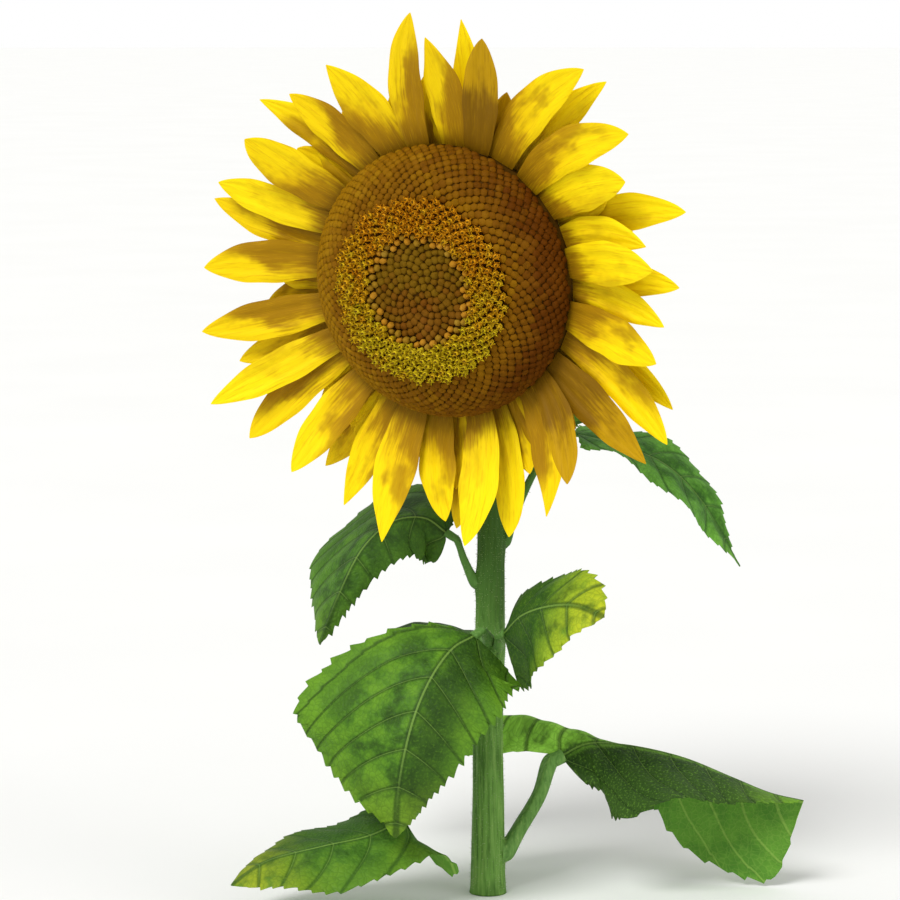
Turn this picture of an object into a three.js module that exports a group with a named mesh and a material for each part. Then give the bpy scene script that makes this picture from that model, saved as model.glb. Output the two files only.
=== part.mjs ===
// Dwarf garden sunflower: one stem with a single large head and eight leaves.
// Millimetres, +Z up. The origin is the centre of the flat cut of the stem at
// ground level, and the front of the plant looks towards -Y.
import * as THREE from "three";
import { mergeVertices } from "three/addons/utils/BufferGeometryUtils.js";

// ---- Driving dimensions ----------------------------------------------------
const SEAT_GAP = 0.35; // clearance between a piece and what carries it

const STEM_PATH = [
  [0, 0, 0], [0, 0, 30], [0, 0, 60], [0, 0, 95], [1, 2, 155], [1.5, 6, 204],
  [1, 12, 240], [1, 21, 288], [2, 29, 326], [2.5, 32, 350], [0.5, 25, 371],
];
const STEM_FOOT_RADIUS = 9.5; // just above the flare
const STEM_NECK_RADIUS = 7.6; // thinnest, below the head
const STEM_FLARE = 1.8; // extra radius at ground level
const STEM_FLARE_HEIGHT = 14;
const STEM_SWELL = 3.2; // extra radius where the neck runs into the head
const STEM_THINNEST_AT = 0.8; // share of the stem's length
const STEM_SWELLS_FROM = 0.85;
const NECK_RUN = 20; // straight end of the neck behind the head
const STEM_RINGS = 24;
const STEM_SIDES = 14;

const HEAD_CENTRE = [-25.5, -40, 376.5]; // middle of the rim plane
const HEAD_TURN = 26; // degrees the face is turned from -Y towards -X
const HEAD_NOD = 7; // degrees the face looks below the horizon
const RIM_RADIUS = 81.5; // edge of the brown disc
const RECEPTACLE_DEPTH = 28; // from the rim plane back to the neck
const NECK_SEAT_RADIUS = 12;
const CUP = [[30, -26], [52, -22], [68, -16.5]]; // radius, height of the receptacle's back
const CUP_RIM_HEIGHT = -9;
const BRACT_TEETH = 16;
const STEPS_PER_TOOTH = 4;
const BRACT_RINGS = [[38, -25], [52, -22.45], [68, -17]]; // radius, height of the cup
const BRACT_EDGE_RADIUS = 78;
const BRACT_EDGE_HEIGHT = -11.5;
const BRACT_TOOTH = 14; // length of a long tooth
const SHORT_TOOTH = 0.7; // a short one's length over a long one's
const BRACT_CURL = 0.5; // how far a tooth drops back for its length
const BRACT_THICKNESS = 1.6;
const DISC_BASE = 3.4; // underside of the disc above the rim plane
const DISC_SHOULDER = [[79.5, 13], [74, 21], [65, 28]]; // radius, height
const SHELF_HEIGHT = 33; // flat top of the outer disc zone
const RING_INNER = 31; // ring of open florets
const RING_OUTER = 53;
const RING_HEIGHT = 8.5;
const CENTRE_RISE = 4.5; // dome of the middle above the shelf
const DISC_SEGMENTS = 36;

const PETAL_ROOT = 80; // radius where the petals leave the receptacle
const PETAL_TIER_DROP = 2.1; // each tier sits this much further back
const PETAL_FRONT_LIFT = 26; // forward rise of a front petal's tip
const PETAL_LIFT_STEP = 5; // less rise for each tier further back
const PETAL_THICKNESS = 0.9;
const PETAL_TROUGH = 1.4; // how far the edges stand above the middle line
const PETAL_FOOT = 0.45; // width at the root over the greatest
const PETAL_WIDEST_AT = 0.48; // share of the petal's length
const PETAL_TIP_POWER = 2.1; // bluntness of the tip
const PETAL_TIP_HALF = 0.5; // least half width
const PETAL_ARCH = 0.42; // rise of the petal's middle over its tip's rise
const PETAL_ROWS = 7;

// Ray petals, clockwise from the top as seen from the front: bearing of the
// root, sideways sweep of the tip (degrees), reach of the tip from the head's
// axis, greatest width, and tier (0 in front, 4 at the back).
const PETALS = [
  [7, -5, 145, 24, 1], [12, -4, 155, 20, 3], [18, -1, 152, 23, 0],
  [29, 10, 164, 25, 1], [37, 6, 162, 20, 3], [44, 11, 161, 25, 0],
  [56, 7, 141, 27, 1], [67, 7, 159, 22, 4], [71, 8, 136, 22, 2],
  [81, 3, 144, 26, 0], [87, 3, 147, 20, 4], [92, 6, 144, 20, 2],
  [103, 2, 148, 26, 0], [111, 6, 157, 18, 4], [114, 8, 167, 22, 2],
  [126, 1, 164, 25, 1], [134, 9, 140, 20, 0], [143, 12, 150, 22, 2],
  [161, 6, 156, 20, 3], [167, 7, 154, 25, 0], [177, 4, 151, 20, 4],
  [187, -6, 143, 24, 2], [198, -4, 159, 27, 0], [208, -1, 154, 22, 2],
  [215, 2, 147, 20, 4], [223, -3, 150, 24, 0], [237, -4, 165, 22, 2],
  [243, 0, 167, 22, 0], [249, 0, 149, 20, 3], [257, 1, 159, 24, 1],
  [276, -3, 147, 26, 0], [285, 3, 152, 22, 2], [293, 0, 149, 22, 1],
  [305, 2, 142, 26, 0], [320, -7, 155, 20, 3], [325, -4, 142, 22, 2],
  [339, -4, 142, 28, 1], [351, 9, 160, 22, 0],
];

// Leaves. `height` and `bearing` (degrees, 0 is +X, 90 is +Y) say where the
// petiole leaves the stem, `gauge` is its radius there and `taper` the share of
// it lost by the blade, `petiole` is its course up to the blade's `base`,
// `midrib` the course of the blade's middle line and `face` the way its upper
// side looks. `left` and `right`, seen from above towards the tip, give each
// half's greatest width, where along the blade that is, how much the parts
// beside the petiole (`shoulder`) and the tip (`blunt`) are filled out or, below
// zero, drawn in, how far the basal lobe reaches back and how it droops (`sag`),
// and how far the half hangs down at the base and at the tip (degrees), reached
// where it is `settled`.
const LEAVES = [
  {
    name: "front", height: 156, bearing: 262, gauge: 3.6, face: [-0.2, -0.75, 0.6],
    petiole: [[-1, -18, 161]], base: [-8, -35, 165],
    midrib: [[-21, -50, 160], [-33, -66, 147], [-43, -78, 127], [-50, -84, 102],
      [-54, -82, 75], [-55, -76, 51]],
    left: { width: 45, widest: 0.34, shoulder: 0.75, lobe: 12, hang: [28, 34], settled: 0.4 },
    right: { width: 79, widest: 0.56, shoulder: 0.1, blunt: -0.22, lobe: 6, hang: [4, 14] },
  },
  {
    name: "right_middle", height: 152, bearing: 300, gauge: 3.2, face: [-0.2, -0.7, 0.65],
    petiole: [[6, -12, 155]], base: [8, -18, 162],
    midrib: [[19, -38, 177], [35, -58, 186], [51, -75, 189], [66, -90, 185]],
    left: { width: 30, widest: 0.5, shoulder: 0.5, lobe: 2, hang: [12, 10] },
    right: { width: 42, widest: 0.38, shoulder: 0.5, lobe: 16, hang: [40, 18] },
  },
  {
    name: "upper_left", height: 190, bearing: 180, gauge: 3.2, face: [-0.4, -0.5, 0.8],
    petiole: [[-14, 4, 203]], base: [-24, 9, 219],
    midrib: [[-38, 14, 228], [-57, 18, 226], [-75, 16, 211], [-91, 10, 181], [-102, 4, 152]],
    left: { width: 26, widest: 0.17, lobe: 5, hang: [44, 60] },
    right: { width: 70, widest: 0.5, blunt: -0.08, lobe: 4, hang: [20, 24] },
  },
  {
    name: "upper_right", height: 214, bearing: 20, gauge: 3.2, face: [0.25, 0, 1],
    petiole: [[15, 9, 229], [25, 9, 252], [37, 10, 273]], base: [52, 12, 280],
    midrib: [[79, 12, 273], [107, 10, 261], [128, 8, 240], [141, 6, 219], [152, 4, 200]],
    left: { width: 36, widest: 0.26, blunt: -0.2, lobe: 2, hang: [-6, -24] },
    right: {
      width: 34, widest: 0.5, shoulder: 0.8, blunt: -0.2, lobe: 2, hang: [6, 14], settled: 0.5,
    },
  },
  {
    name: "lower_left", height: 112, bearing: 205, gauge: 3.2, face: [0, 0, 1],
    petiole: [[-23, -12, 87], [-38, -21, 71]], base: [-50, -33, 53],
    midrib: [[-71, -42, 45], [-100, -50, 40], [-133, -56, 32], [-153, -60, 19]],
    left: { width: 38, widest: 0.5, shoulder: 0.4, lobe: 28, hang: [34, 28], sag: 4 },
    right: { width: 38, widest: 0.4, lobe: 8, hang: [-8, 0] },
  },
  {
    name: "lower_right", height: 25, bearing: 8, gauge: 4.9, taper: 0.12, face: [0, 0, 1],
    petiole: [[20, 6, 40], [31, 11, 58]], base: [44, 19, 80],
    midrib: [[60, 23, 87], [80, 25, 87], [118, 20, 80], [150, 14, 68], [172, 8, 60],
      [192, 4, 56]],
    left: {
      width: 57, widest: 0.78, shoulder: 0.8, blunt: 0.9, lobe: 70, hang: [-58, 84],
      settled: 0.46, sag: -0.1,
    },
    right: { width: 64, widest: 0.3, lobe: -2, hang: [40, 8], sag: 0.1 },
  },
  {
    name: "back_upper", height: 262, bearing: 78, gauge: 3.2, face: [0.15, 0.3, 1],
    petiole: [[10, 42, 284]], base: [17, 64, 290],
    midrib: [[20, 90, 301], [22, 114, 297], [24, 133, 279], [24, 139, 254]],
    left: { width: 46, widest: 0.35, lobe: 16, hang: [18, 18] },
    right: { width: 46, widest: 0.35, lobe: 16, hang: [18, 18] },
  },
  {
    name: "back_lower", height: 126, bearing: 120, gauge: 3.4, face: [-0.2, 0.2, 1],
    petiole: [[-16, 26, 146]], base: [-30, 48, 155],
    midrib: [[-46, 74, 154], [-62, 98, 140], [-74, 116, 116], [-80, 124, 88]],
    left: { width: 52, widest: 0.35, lobe: 18, hang: [18, 18] },
    right: { width: 52, widest: 0.35, lobe: 18, hang: [18, 18] },
  },
];
const PETIOLE_TAPER = 0.46; // usual share of its gauge lost by the blade
const PETIOLE_RUN = 6; // straight end of a petiole before the blade
const PETIOLE_RINGS = 8;
const PETIOLE_SIDES = 6;
const BLADE_GAP = 2.4 * SEAT_GAP; // between a petiole and its blade
const BLADE_RUN = 3; // straight start of the midrib
const BLADE_ROOT_HALF = 2.8; // half width of the blade at the petiole
const BLADE_TIP_HALF = 0.4; // half width at the tip
const BLADE_ROUNDING = 0.85; // under 1, a fuller outline
const LEAF_THICKNESS = 1.0;
const LEAF_ROWS = 9;
const ROW_CROWDING = 1.5; // over 1, more rows near the petiole
const HALF_COLUMNS = 3;
const LOBE_SAG = 0.4; // usual droop of a basal lobe for its reach back
const LOBE_REACH = 1.6; // a lobe's reach at the petiole over its measure
const LOBE_CURVE = 1.6; // over 1, a lobe that grows towards its edge
const LOBE_DROOP_OVER = 0.05; // share of the blade over which the droop fades
const HANG_SETTLED = 0.8; // usual share of the blade where the second hang is reached

const COLOURS = {
  stem: 0x527a38, petiole: 0x5c8640, leaf: 0x47742a, bract: 0x567f34, receptacle: 0x6f8a3c,
  petal: 0xf6cf18, outer: 0x6e4709, ring: 0xb87a1a, centre: 0x5f3f10,
};

// ---- Helpers -----------------------------------------------------------------
const vec = (p) => new THREE.Vector3(...p);
const rad = THREE.MathUtils.degToRad;
const smooth = THREE.MathUtils.smoothstep;

function courseOf(points) {
  const through = points.map((p) => (p.isVector3 ? p : vec(p)));
  return new THREE.CatmullRomCurve3(through, false, "centripetal");
}

function node(name, geometry, colour, roughness = 0.75) {
  const material = new THREE.MeshStandardMaterial({ color: colour, roughness, metalness: 0 });
  const mesh = new THREE.Mesh(geometry, material);
  mesh.name = name;
  return mesh;
}

function geometryFrom(points, faces) {
  const geometry = new THREE.BufferGeometry();
  const numbers = points.flatMap((p) => p.toArray());
  geometry.setAttribute("position", new THREE.Float32BufferAttribute(numbers, 3));
  geometry.setIndex(faces.flat());
  return geometry;
}

// Closed tube along a course. `radiusAt` gives the radius for u = 0...1. With
// `seat` the first ring is cut obliquely, in the plane across that direction.
function tube(course, rings, sides, radiusAt, seat = null) {
  const frames = course.computeFrenetFrames(rings, false);
  const points = [];
  for (let i = 0; i <= rings; i += 1) {
    const centre = course.getPointAt(i / rings);
    for (let j = 0; j < sides; j += 1) {
      const angle = (2 * Math.PI * j) / sides;
      const point = centre.clone()
        .addScaledVector(frames.normals[i], radiusAt(i / rings) * Math.cos(angle))
        .addScaledVector(frames.binormals[i], radiusAt(i / rings) * Math.sin(angle));
      if (i === 0 && seat) slideOntoPlane(point, centre, seat, frames.tangents[0]);
      points.push(point);
    }
  }
  const faces = [];
  for (let i = 0; i < rings; i += 1) {
    for (let j = 0; j < sides; j += 1) {
      const [a, b] = [i * sides + j, i * sides + ((j + 1) % sides)];
      faces.push([a, b, b + sides], [a, b + sides, a + sides]);
    }
  }
  const top = rings * sides;
  for (let j = 1; j < sides - 1; j += 1) {
    faces.push([0, j + 1, j], [top, top + j, top + j + 1]);
  }
  return geometryFrom(points, faces);
}

function slideOntoPlane(point, origin, normal, along) {
  const distance = origin.clone().sub(point).dot(normal) / along.dot(normal);
  point.addScaledVector(along, distance);
}

// Closed thin plate from a grid of points on its middle surface. `grid[i][j]`
// runs along the plate (i) and across it (j); both faces lie half a
// `thickness` from it.
function plate(grid, thickness) {
  const [rows, cols] = [grid.length, grid[0].length];
  const within = (k, count) => Math.min(Math.max(k, 0), count - 1);
  const at = (i, j) => grid[within(i, rows)][within(j, cols)];
  const points = [];
  for (const side of [0.5, -0.5]) {
    for (let i = 0; i < rows; i += 1) {
      for (let j = 0; j < cols; j += 1) {
        const along = at(i + 1, j).clone().sub(at(i - 1, j));
        const across = at(i, j + 1).clone().sub(at(i, j - 1));
        const normal = across.cross(along).normalize();
        points.push(at(i, j).clone().addScaledVector(normal, side * thickness));
      }
    }
  }
  return geometryFrom(points, plateFaces(rows, cols));
}

function plateFaces(rows, cols) {
  const faces = [];
  const under = rows * cols;
  const quad = (a, b, c, d) => faces.push([a, b, c], [a, c, d]);
  for (let i = 0; i < rows - 1; i += 1) {
    for (let j = 0; j < cols - 1; j += 1) {
      const a = i * cols + j;
      quad(a, a + 1, a + cols + 1, a + cols);
      quad(under + a, under + a + cols, under + a + cols + 1, under + a + 1);
    }
    const [left, right] = [i * cols, i * cols + cols - 1];
    quad(left, left + cols, under + left + cols, under + left);
    quad(right, under + right, under + right + cols, right + cols);
  }
  for (let j = 0; j < cols - 1; j += 1) {
    const last = (rows - 1) * cols + j;
    quad(j, under + j, under + j + 1, j + 1);
    quad(last, last + 1, under + last + 1, under + last);
  }
  return faces;
}

// Solid of revolution about +Z from [radius, height] pairs.
function turned(profile, segments) {
  const outline = profile.map(([radius, height]) => new THREE.Vector2(radius, height));
  const geometry = new THREE.LatheGeometry(outline, segments);
  geometry.rotateX(Math.PI / 2);
  geometry.deleteAttribute("normal");
  geometry.deleteAttribute("uv");
  return mergeVertices(geometry, 1e-3);
}

// ---- Stem --------------------------------------------------------------------
function headAxes() {
  const [turn, nod] = [rad(HEAD_TURN), rad(HEAD_NOD)];
  const facing = new THREE.Vector3(
    -Math.sin(turn) * Math.cos(nod), -Math.cos(turn) * Math.cos(nod), -Math.sin(nod),
  );
  const across = new THREE.Vector3(Math.cos(turn), -Math.sin(turn), 0);
  return { across, up: facing.clone().cross(across), facing };
}

function stemCourse() {
  const { facing } = headAxes();
  const neck = vec(HEAD_CENTRE).addScaledVector(facing, -RECEPTACLE_DEPTH - SEAT_GAP);
  const before = (step) => neck.clone().addScaledVector(facing, -step);
  return courseOf([...STEM_PATH.map(vec), before(NECK_RUN), before(NECK_RUN / 2), neck]);
}

function stemRadius(u) {
  const thinning = (STEM_FOOT_RADIUS - STEM_NECK_RADIUS) * smooth(u, 0, STEM_THINNEST_AT);
  const flare = STEM_FLARE * Math.exp((-u * stemCourse().getLength()) / STEM_FLARE_HEIGHT);
  return STEM_FOOT_RADIUS - thinning + flare + STEM_SWELL * smooth(u, STEM_SWELLS_FROM, 1) ** 2;
}

function stem() {
  return node("stem", tube(stemCourse(), STEM_RINGS, STEM_SIDES, stemRadius), COLOURS.stem);
}

// ---- Leaves ------------------------------------------------------------------
// Where a petiole leaves the stem: a point just off its surface, and the
// horizontal direction away from it.
function stemSeat(height, bearing) {
  const course = stemCourse();
  let u = 0;
  while (course.getPointAt(u).z < height) u += 0.002;
  const along = course.getTangentAt(u);
  const outward = new THREE.Vector3(Math.cos(rad(bearing)), Math.sin(rad(bearing)), 0);
  outward.addScaledVector(along, -outward.dot(along)).normalize();
  const start = course.getPointAt(u).addScaledVector(outward, stemRadius(u) + SEAT_GAP);
  return { start, outward };
}

function petiole(leaf) {
  const { start, outward } = stemSeat(leaf.height, leaf.bearing);
  const { base, away } = bladeRoot(leaf);
  const before = (step) => base.clone().addScaledVector(away, -step);
  const end = [before(PETIOLE_RUN), before(PETIOLE_RUN / 2), base];
  const course = courseOf([start, ...leaf.petiole.map(vec), ...end]);
  const radiusAt = (u) => leaf.gauge * (1 - (leaf.taper ?? PETIOLE_TAPER) * u);
  const shape = tube(course, PETIOLE_RINGS, PETIOLE_SIDES, radiusAt, outward);
  return node(`petiole_${leaf.name}`, shape, COLOURS.petiole);
}

// End of the petiole, where the blade begins, and the direction it heads in.
function bladeRoot(leaf) {
  const base = vec(leaf.base);
  return { base, away: vec(leaf.midrib[0]).sub(base).normalize() };
}

// Half width of a heart-shaped blade as a fraction of its greatest: it swells
// quickly from the petiole, peaks where it is widest and tapers to a point. A
// `shoulder` fills out the part next to the petiole and `blunt` the part by the
// tip, which it draws in if it is below zero.
function bladeOutline(u, { widest, shoulder = 0, blunt = 0 }) {
  const skew = Math.log(0.5) / Math.log(widest);
  const swell = Math.max(Math.sin(Math.PI * u ** skew), 0) ** BLADE_ROUNDING;
  const nearPetiole = shoulder * smooth(u, 0, 0.06) * (1 - smooth(u, 0.05, 0.35));
  const nearTip = blunt * smooth(u, 0.6, 0.8) * (1 - smooth(u, 0.93, 1));
  return swell + (1 - swell) * (nearPetiole + nearTip);
}

function bladeGrid(leaf) {
  const { base, away } = bladeRoot(leaf);
  const after = (step) => base.clone().addScaledVector(away, step);
  const start = [after(BLADE_GAP), after(BLADE_GAP + BLADE_RUN)];
  const course = courseOf([...start, ...leaf.midrib.map(vec)]);
  const grid = [];
  for (let i = 0; i <= LEAF_ROWS; i += 1) {
    const u = (i / LEAF_ROWS) ** ROW_CROWDING;
    grid.push(bladeRow(leaf, course.getPointAt(u), course.getTangentAt(u), u));
  }
  return grid;
}

// Points across the blade at `u`, from the left edge to the right one.
function bladeRow(leaf, middle, along, u) {
  const toRight = along.clone().cross(vec(leaf.face)).normalize();
  const upward = toRight.clone().cross(along);
  const row = [];
  for (let step = -HALF_COLUMNS; step <= HALF_COLUMNS; step += 1) {
    const half = step < 0 ? leaf.left : leaf.right;
    const { width, rise, back } = halfPoint(half, u, Math.abs(step) / HALF_COLUMNS);
    row.push(middle.clone()
      .addScaledVector(toRight, Math.sign(step) * width)
      .addScaledVector(upward, rise)
      .addScaledVector(along, -back));
  }
  return row;
}

// How far sideways, up and back from the midrib a point of a half lies, for
// its share `out` of the way to the edge.
function halfPoint(half, u, out) {
  const swell = bladeOutline(u, half);
  const least = BLADE_ROOT_HALF + (BLADE_TIP_HALF - BLADE_ROOT_HALF) * u;
  const width = Math.max(half.width * swell, least) * out;
  const turn = smooth(u, 0, half.settled ?? HANG_SETTLED);
  const hang = rad(half.hang[0] + (half.hang[1] - half.hang[0]) * turn);
  const back = LOBE_REACH * half.lobe * swell * (1 - u) ** 2 * out ** LOBE_CURVE;
  const droop = (half.sag ?? LOBE_SAG) * Math.exp(-u / LOBE_DROOP_OVER) * back;
  return { width: width * Math.cos(hang), rise: -width * Math.sin(hang) - droop, back };
}

function blade(leaf) {
  return node(`leaf_${leaf.name}`, plate(bladeGrid(leaf), LEAF_THICKNESS), COLOURS.leaf, 0.7);
}

// ---- Head --------------------------------------------------------------------
function receptacle() {
  const rim = PETAL_ROOT - 1.5 * SEAT_GAP;
  const top = DISC_BASE - 2 * SEAT_GAP;
  const profile = [
    [0, -RECEPTACLE_DEPTH], [NECK_SEAT_RADIUS, -RECEPTACLE_DEPTH], ...CUP,
    [rim, CUP_RIM_HEIGHT], [rim, top], [0, top],
  ];
  return node("receptacle", turned(profile, DISC_SEGMENTS), COLOURS.receptacle);
}

// Green bracts behind the petals: a cup round the back of the receptacle whose
// edge runs out into pointed teeth, longer and shorter ones in turn, that curl
// back towards the neck.
function bracts() {
  const count = BRACT_TEETH * STEPS_PER_TOOTH;
  const points = [];
  for (const lift of [-BRACT_THICKNESS, 0]) {
    for (let k = 0; k < count; k += 1) {
      const [x, y] = [Math.sin((2 * Math.PI * k) / count), Math.cos((2 * Math.PI * k) / count)];
      for (const [radius, height] of [...BRACT_RINGS, bractEdge(k)]) {
        points.push(new THREE.Vector3(radius * x, radius * y, height + lift));
      }
    }
  }
  const faces = collarFaces(count, BRACT_RINGS.length + 1);
  return node("bracts", geometryFrom(points, faces), COLOURS.bract);
}

// Radius and height of the edge at step `k` round the cup.
function bractEdge(k) {
  const point = 1 - Math.abs((k % STEPS_PER_TOOTH) / (STEPS_PER_TOOTH / 2) - 1);
  const isLong = Math.floor(k / STEPS_PER_TOOTH) % 2 === 1;
  const length = BRACT_TOOTH * (isLong ? 1 : SHORT_TOOTH) * point;
  return [BRACT_EDGE_RADIUS + length, BRACT_EDGE_HEIGHT - BRACT_CURL * length];
}

// Faces of a closed collar of two layers, `count` steps round and `rows` out.
function collarFaces(count, rows) {
  const faces = [];
  const under = count * rows;
  const quad = (a, b, c, d) => faces.push([a, b, c], [a, c, d]);
  for (let k = 0; k < count; k += 1) {
    const [a, b] = [k * rows, ((k + 1) % count) * rows];
    for (let row = 0; row < rows - 1; row += 1) {
      quad(a + row, a + row + 1, b + row + 1, b + row);
      quad(under + a + row, under + b + row, under + b + row + 1, under + a + row + 1);
    }
    const edge = rows - 1;
    quad(a + edge, under + a + edge, under + b + edge, b + edge);
    quad(a, b, under + b, under + a);
  }
  return faces;
}

// The disc's three zones: a flat-topped mound, and on it a ring round a dome.
function disc() {
  const outer = [[0, DISC_BASE], [RIM_RADIUS - 1.5, DISC_BASE], [RIM_RADIUS, DISC_BASE + 3],
    ...DISC_SHOULDER, [RING_OUTER + 1, SHELF_HEIGHT], [0, SHELF_HEIGHT]];
  const floor = SHELF_HEIGHT + SEAT_GAP;
  const crest = floor + RING_HEIGHT;
  const ring = [[RING_INNER, floor], [RING_OUTER, floor], [RING_OUTER + 1.5, floor + 3],
    [RING_OUTER - 4, crest - 1], [RING_OUTER - 11, crest], [RING_INNER + 2, crest - 2],
    [RING_INNER, floor]];
  const inner = RING_INNER - 1.5 * SEAT_GAP;
  const centre = [[0, floor], [inner, floor], [inner - 1, floor + 2],
    [inner * 0.7, floor + CENTRE_RISE - 0.8], [0, floor + CENTRE_RISE]];
  return [
    node("disc_outer", turned(outer, DISC_SEGMENTS), COLOURS.outer, 0.9),
    node("disc_ring", turned(ring, DISC_SEGMENTS), COLOURS.ring, 0.85),
    node("disc_centre", turned(centre, DISC_SEGMENTS - 6), COLOURS.centre, 0.9),
  ];
}

// Width of a ray petal as a fraction of its greatest.
function petalOutline(u) {
  if (u < PETAL_WIDEST_AT) {
    const swell = Math.sin((Math.PI / 2) * (u / PETAL_WIDEST_AT));
    return PETAL_FOOT + (1 - PETAL_FOOT) * swell;
  }
  return 1 - ((u - PETAL_WIDEST_AT) / (1 - PETAL_WIDEST_AT)) ** PETAL_TIP_POWER;
}

// Middle line of a petal, from its root on the receptacle to its tip.
function petalCourse([bearing, sweep, reach, , tier]) {
  const back = 1.1 - PETAL_TIER_DROP * tier;
  const lift = PETAL_FRONT_LIFT - PETAL_LIFT_STEP * tier;
  const at = (radius, turn, height) => new THREE.Vector3(
    radius * Math.sin(rad(bearing + turn)), radius * Math.cos(rad(bearing + turn)), height,
  );
  return new THREE.QuadraticBezierCurve3(
    at(PETAL_ROOT, 0, back), at((PETAL_ROOT + reach) / 2, 0, back + PETAL_ARCH * lift),
    at(reach, sweep, back + lift),
  );
}

function petalGrid(row) {
  const course = petalCourse(row);
  const width = row[3];
  const grid = [];
  for (let i = 0; i <= PETAL_ROWS; i += 1) {
    const u = i / PETAL_ROWS;
    const middle = course.getPointAt(u);
    const toRight = course.getTangentAt(u).cross(new THREE.Vector3(0, 0, 1)).normalize();
    const half = Math.max((width / 2) * petalOutline(u), PETAL_TIP_HALF);
    const trough = PETAL_TROUGH * Math.sin(Math.PI * u);
    grid.push([-1, 0, 1].map((side) => middle.clone()
      .addScaledVector(toRight, side * half)
      .add(new THREE.Vector3(0, 0, Math.abs(side) * trough))));
  }
  return grid;
}

function petal(row, index) {
  const name = `petal_${String(index + 1).padStart(2, "0")}`;
  return node(name, plate(petalGrid(row), PETAL_THICKNESS), COLOURS.petal, 0.6);
}

function head() {
  const group = new THREE.Group();
  const { across, up, facing } = headAxes();
  group.position.copy(vec(HEAD_CENTRE));
  group.setRotationFromMatrix(new THREE.Matrix4().makeBasis(across, up, facing));
  group.add(receptacle(), bracts(), ...disc(), ...PETALS.map(petal));
  return group;
}

const sunflower = new THREE.Group();
sunflower.add(stem(), ...LEAVES.map(petiole), ...LEAVES.map(blade), head());

export default sunflower;
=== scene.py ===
"""Dwarf garden sunflower in flower: one stem, eight toothed leaves and a single head.

Sizes are in millimetres and angles in degrees, and meshes are written in metres.
The origin is the flat cut of the stem at ground level, +Z is up and the front of
the plant looks towards -Y.
"""

from __future__ import annotations

import logging
from collections.abc import Mapping, Sequence
from dataclasses import dataclass
from enum import Enum
from functools import cached_property

import bpy
import numpy as np
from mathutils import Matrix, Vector

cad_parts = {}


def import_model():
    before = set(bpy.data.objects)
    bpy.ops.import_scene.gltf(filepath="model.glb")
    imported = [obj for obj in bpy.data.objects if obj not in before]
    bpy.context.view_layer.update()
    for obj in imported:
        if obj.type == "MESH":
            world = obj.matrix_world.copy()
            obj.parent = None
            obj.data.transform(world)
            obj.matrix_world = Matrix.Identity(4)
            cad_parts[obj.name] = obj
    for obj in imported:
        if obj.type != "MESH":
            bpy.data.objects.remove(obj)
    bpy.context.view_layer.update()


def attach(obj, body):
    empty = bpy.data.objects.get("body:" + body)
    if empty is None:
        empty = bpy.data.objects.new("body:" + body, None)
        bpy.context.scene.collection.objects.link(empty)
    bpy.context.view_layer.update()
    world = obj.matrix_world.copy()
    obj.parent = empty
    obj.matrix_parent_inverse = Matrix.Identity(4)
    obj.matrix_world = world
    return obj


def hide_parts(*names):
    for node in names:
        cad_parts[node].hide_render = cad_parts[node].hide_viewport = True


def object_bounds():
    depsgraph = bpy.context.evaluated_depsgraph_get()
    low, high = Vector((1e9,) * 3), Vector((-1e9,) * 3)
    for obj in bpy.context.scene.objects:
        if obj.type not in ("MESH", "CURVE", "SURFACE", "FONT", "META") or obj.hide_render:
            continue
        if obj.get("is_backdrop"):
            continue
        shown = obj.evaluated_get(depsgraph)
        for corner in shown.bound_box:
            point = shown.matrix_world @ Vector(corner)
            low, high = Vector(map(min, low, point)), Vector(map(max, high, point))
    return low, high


LOG = logging.getLogger("sunflower")
BODY = "root"
MM = 0.001  # metres in a millimetre
CHART_UNIT = 100.0  # millimetres to one unit of a piece's own chart
GOLDEN_ANGLE = np.pi * (3.0 - np.sqrt(5.0))  # radians
SEAT_GAP = 0.35  # clearance between a piece and what carries it
UP = np.array([0.0, 0.0, 1.0])

Array = np.ndarray
Point = tuple[float, float, float]
Tints = tuple[str, str, str]  # body, dark and light


class Slot(Enum):
    """Material slots of the record."""

    STEM = "stem"
    PETIOLE = "petiole"
    LEAF = "leaf"
    BRACT = "bract"
    RECEPTACLE = "receptacle"
    PETAL = "petal"
    OUTER = "disc_outer"
    RING = "disc_ring"
    CENTRE = "disc_centre"


class Tone(Enum):
    """How much painted shade a petal carries, as ochre and gold over its yellow."""

    CLEAR = "clear"
    GOLDEN = "golden"
    SHADED = "shaded"
    DEEP = "deep"


# ---- Curves and grids --------------------------------------------------------
def smooth(x: Array | float, low: float, high: float) -> Array:
    """Smoothstep, 3t^2 - 2t^3 of the share t of the way from low to high."""
    t = np.clip((np.asarray(x, float) - low) / (high - low), 0.0, 1.0)
    return t * t * (3.0 - 2.0 * t)


def unit(vectors: Array) -> Array:
    """Vectors over their own lengths."""
    return vectors / np.maximum(np.linalg.norm(vectors, axis=-1, keepdims=True), 1e-12)


def bell(x: Array, width: float) -> Array:
    """Bell curve, e to the power -(x / width)^2."""
    return np.exp(-((x / width) ** 2))


def paired(first: Array, second: Array) -> Array:
    """Two arrays side by side in a new last axis, spread to one shape."""
    return np.stack(np.broadcast_arrays(first, second), -1)


def bowed(start: Array, middle: Array, end: Array, t: Array) -> Array:
    """Quadratic curve, (1 - t)^2 start + 2 t (1 - t) middle + t^2 end."""
    return (1 - t) ** 2 * start + 2 * t * (1 - t) * middle + t ** 2 * end


def tapering(thickness: float, t: Array, s: Array) -> Array:
    """Half the thickness of a blade, less towards its tip (t) and its edges (s)."""
    return thickness / 2 * (1 - 0.5 * s ** 2) * (1 - 0.5 * t)


def even_turns(sides: int) -> Array:
    """Angles in even steps once round, in radians."""
    return np.linspace(0.0, 2 * np.pi, sides, endpoint=False)


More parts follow.
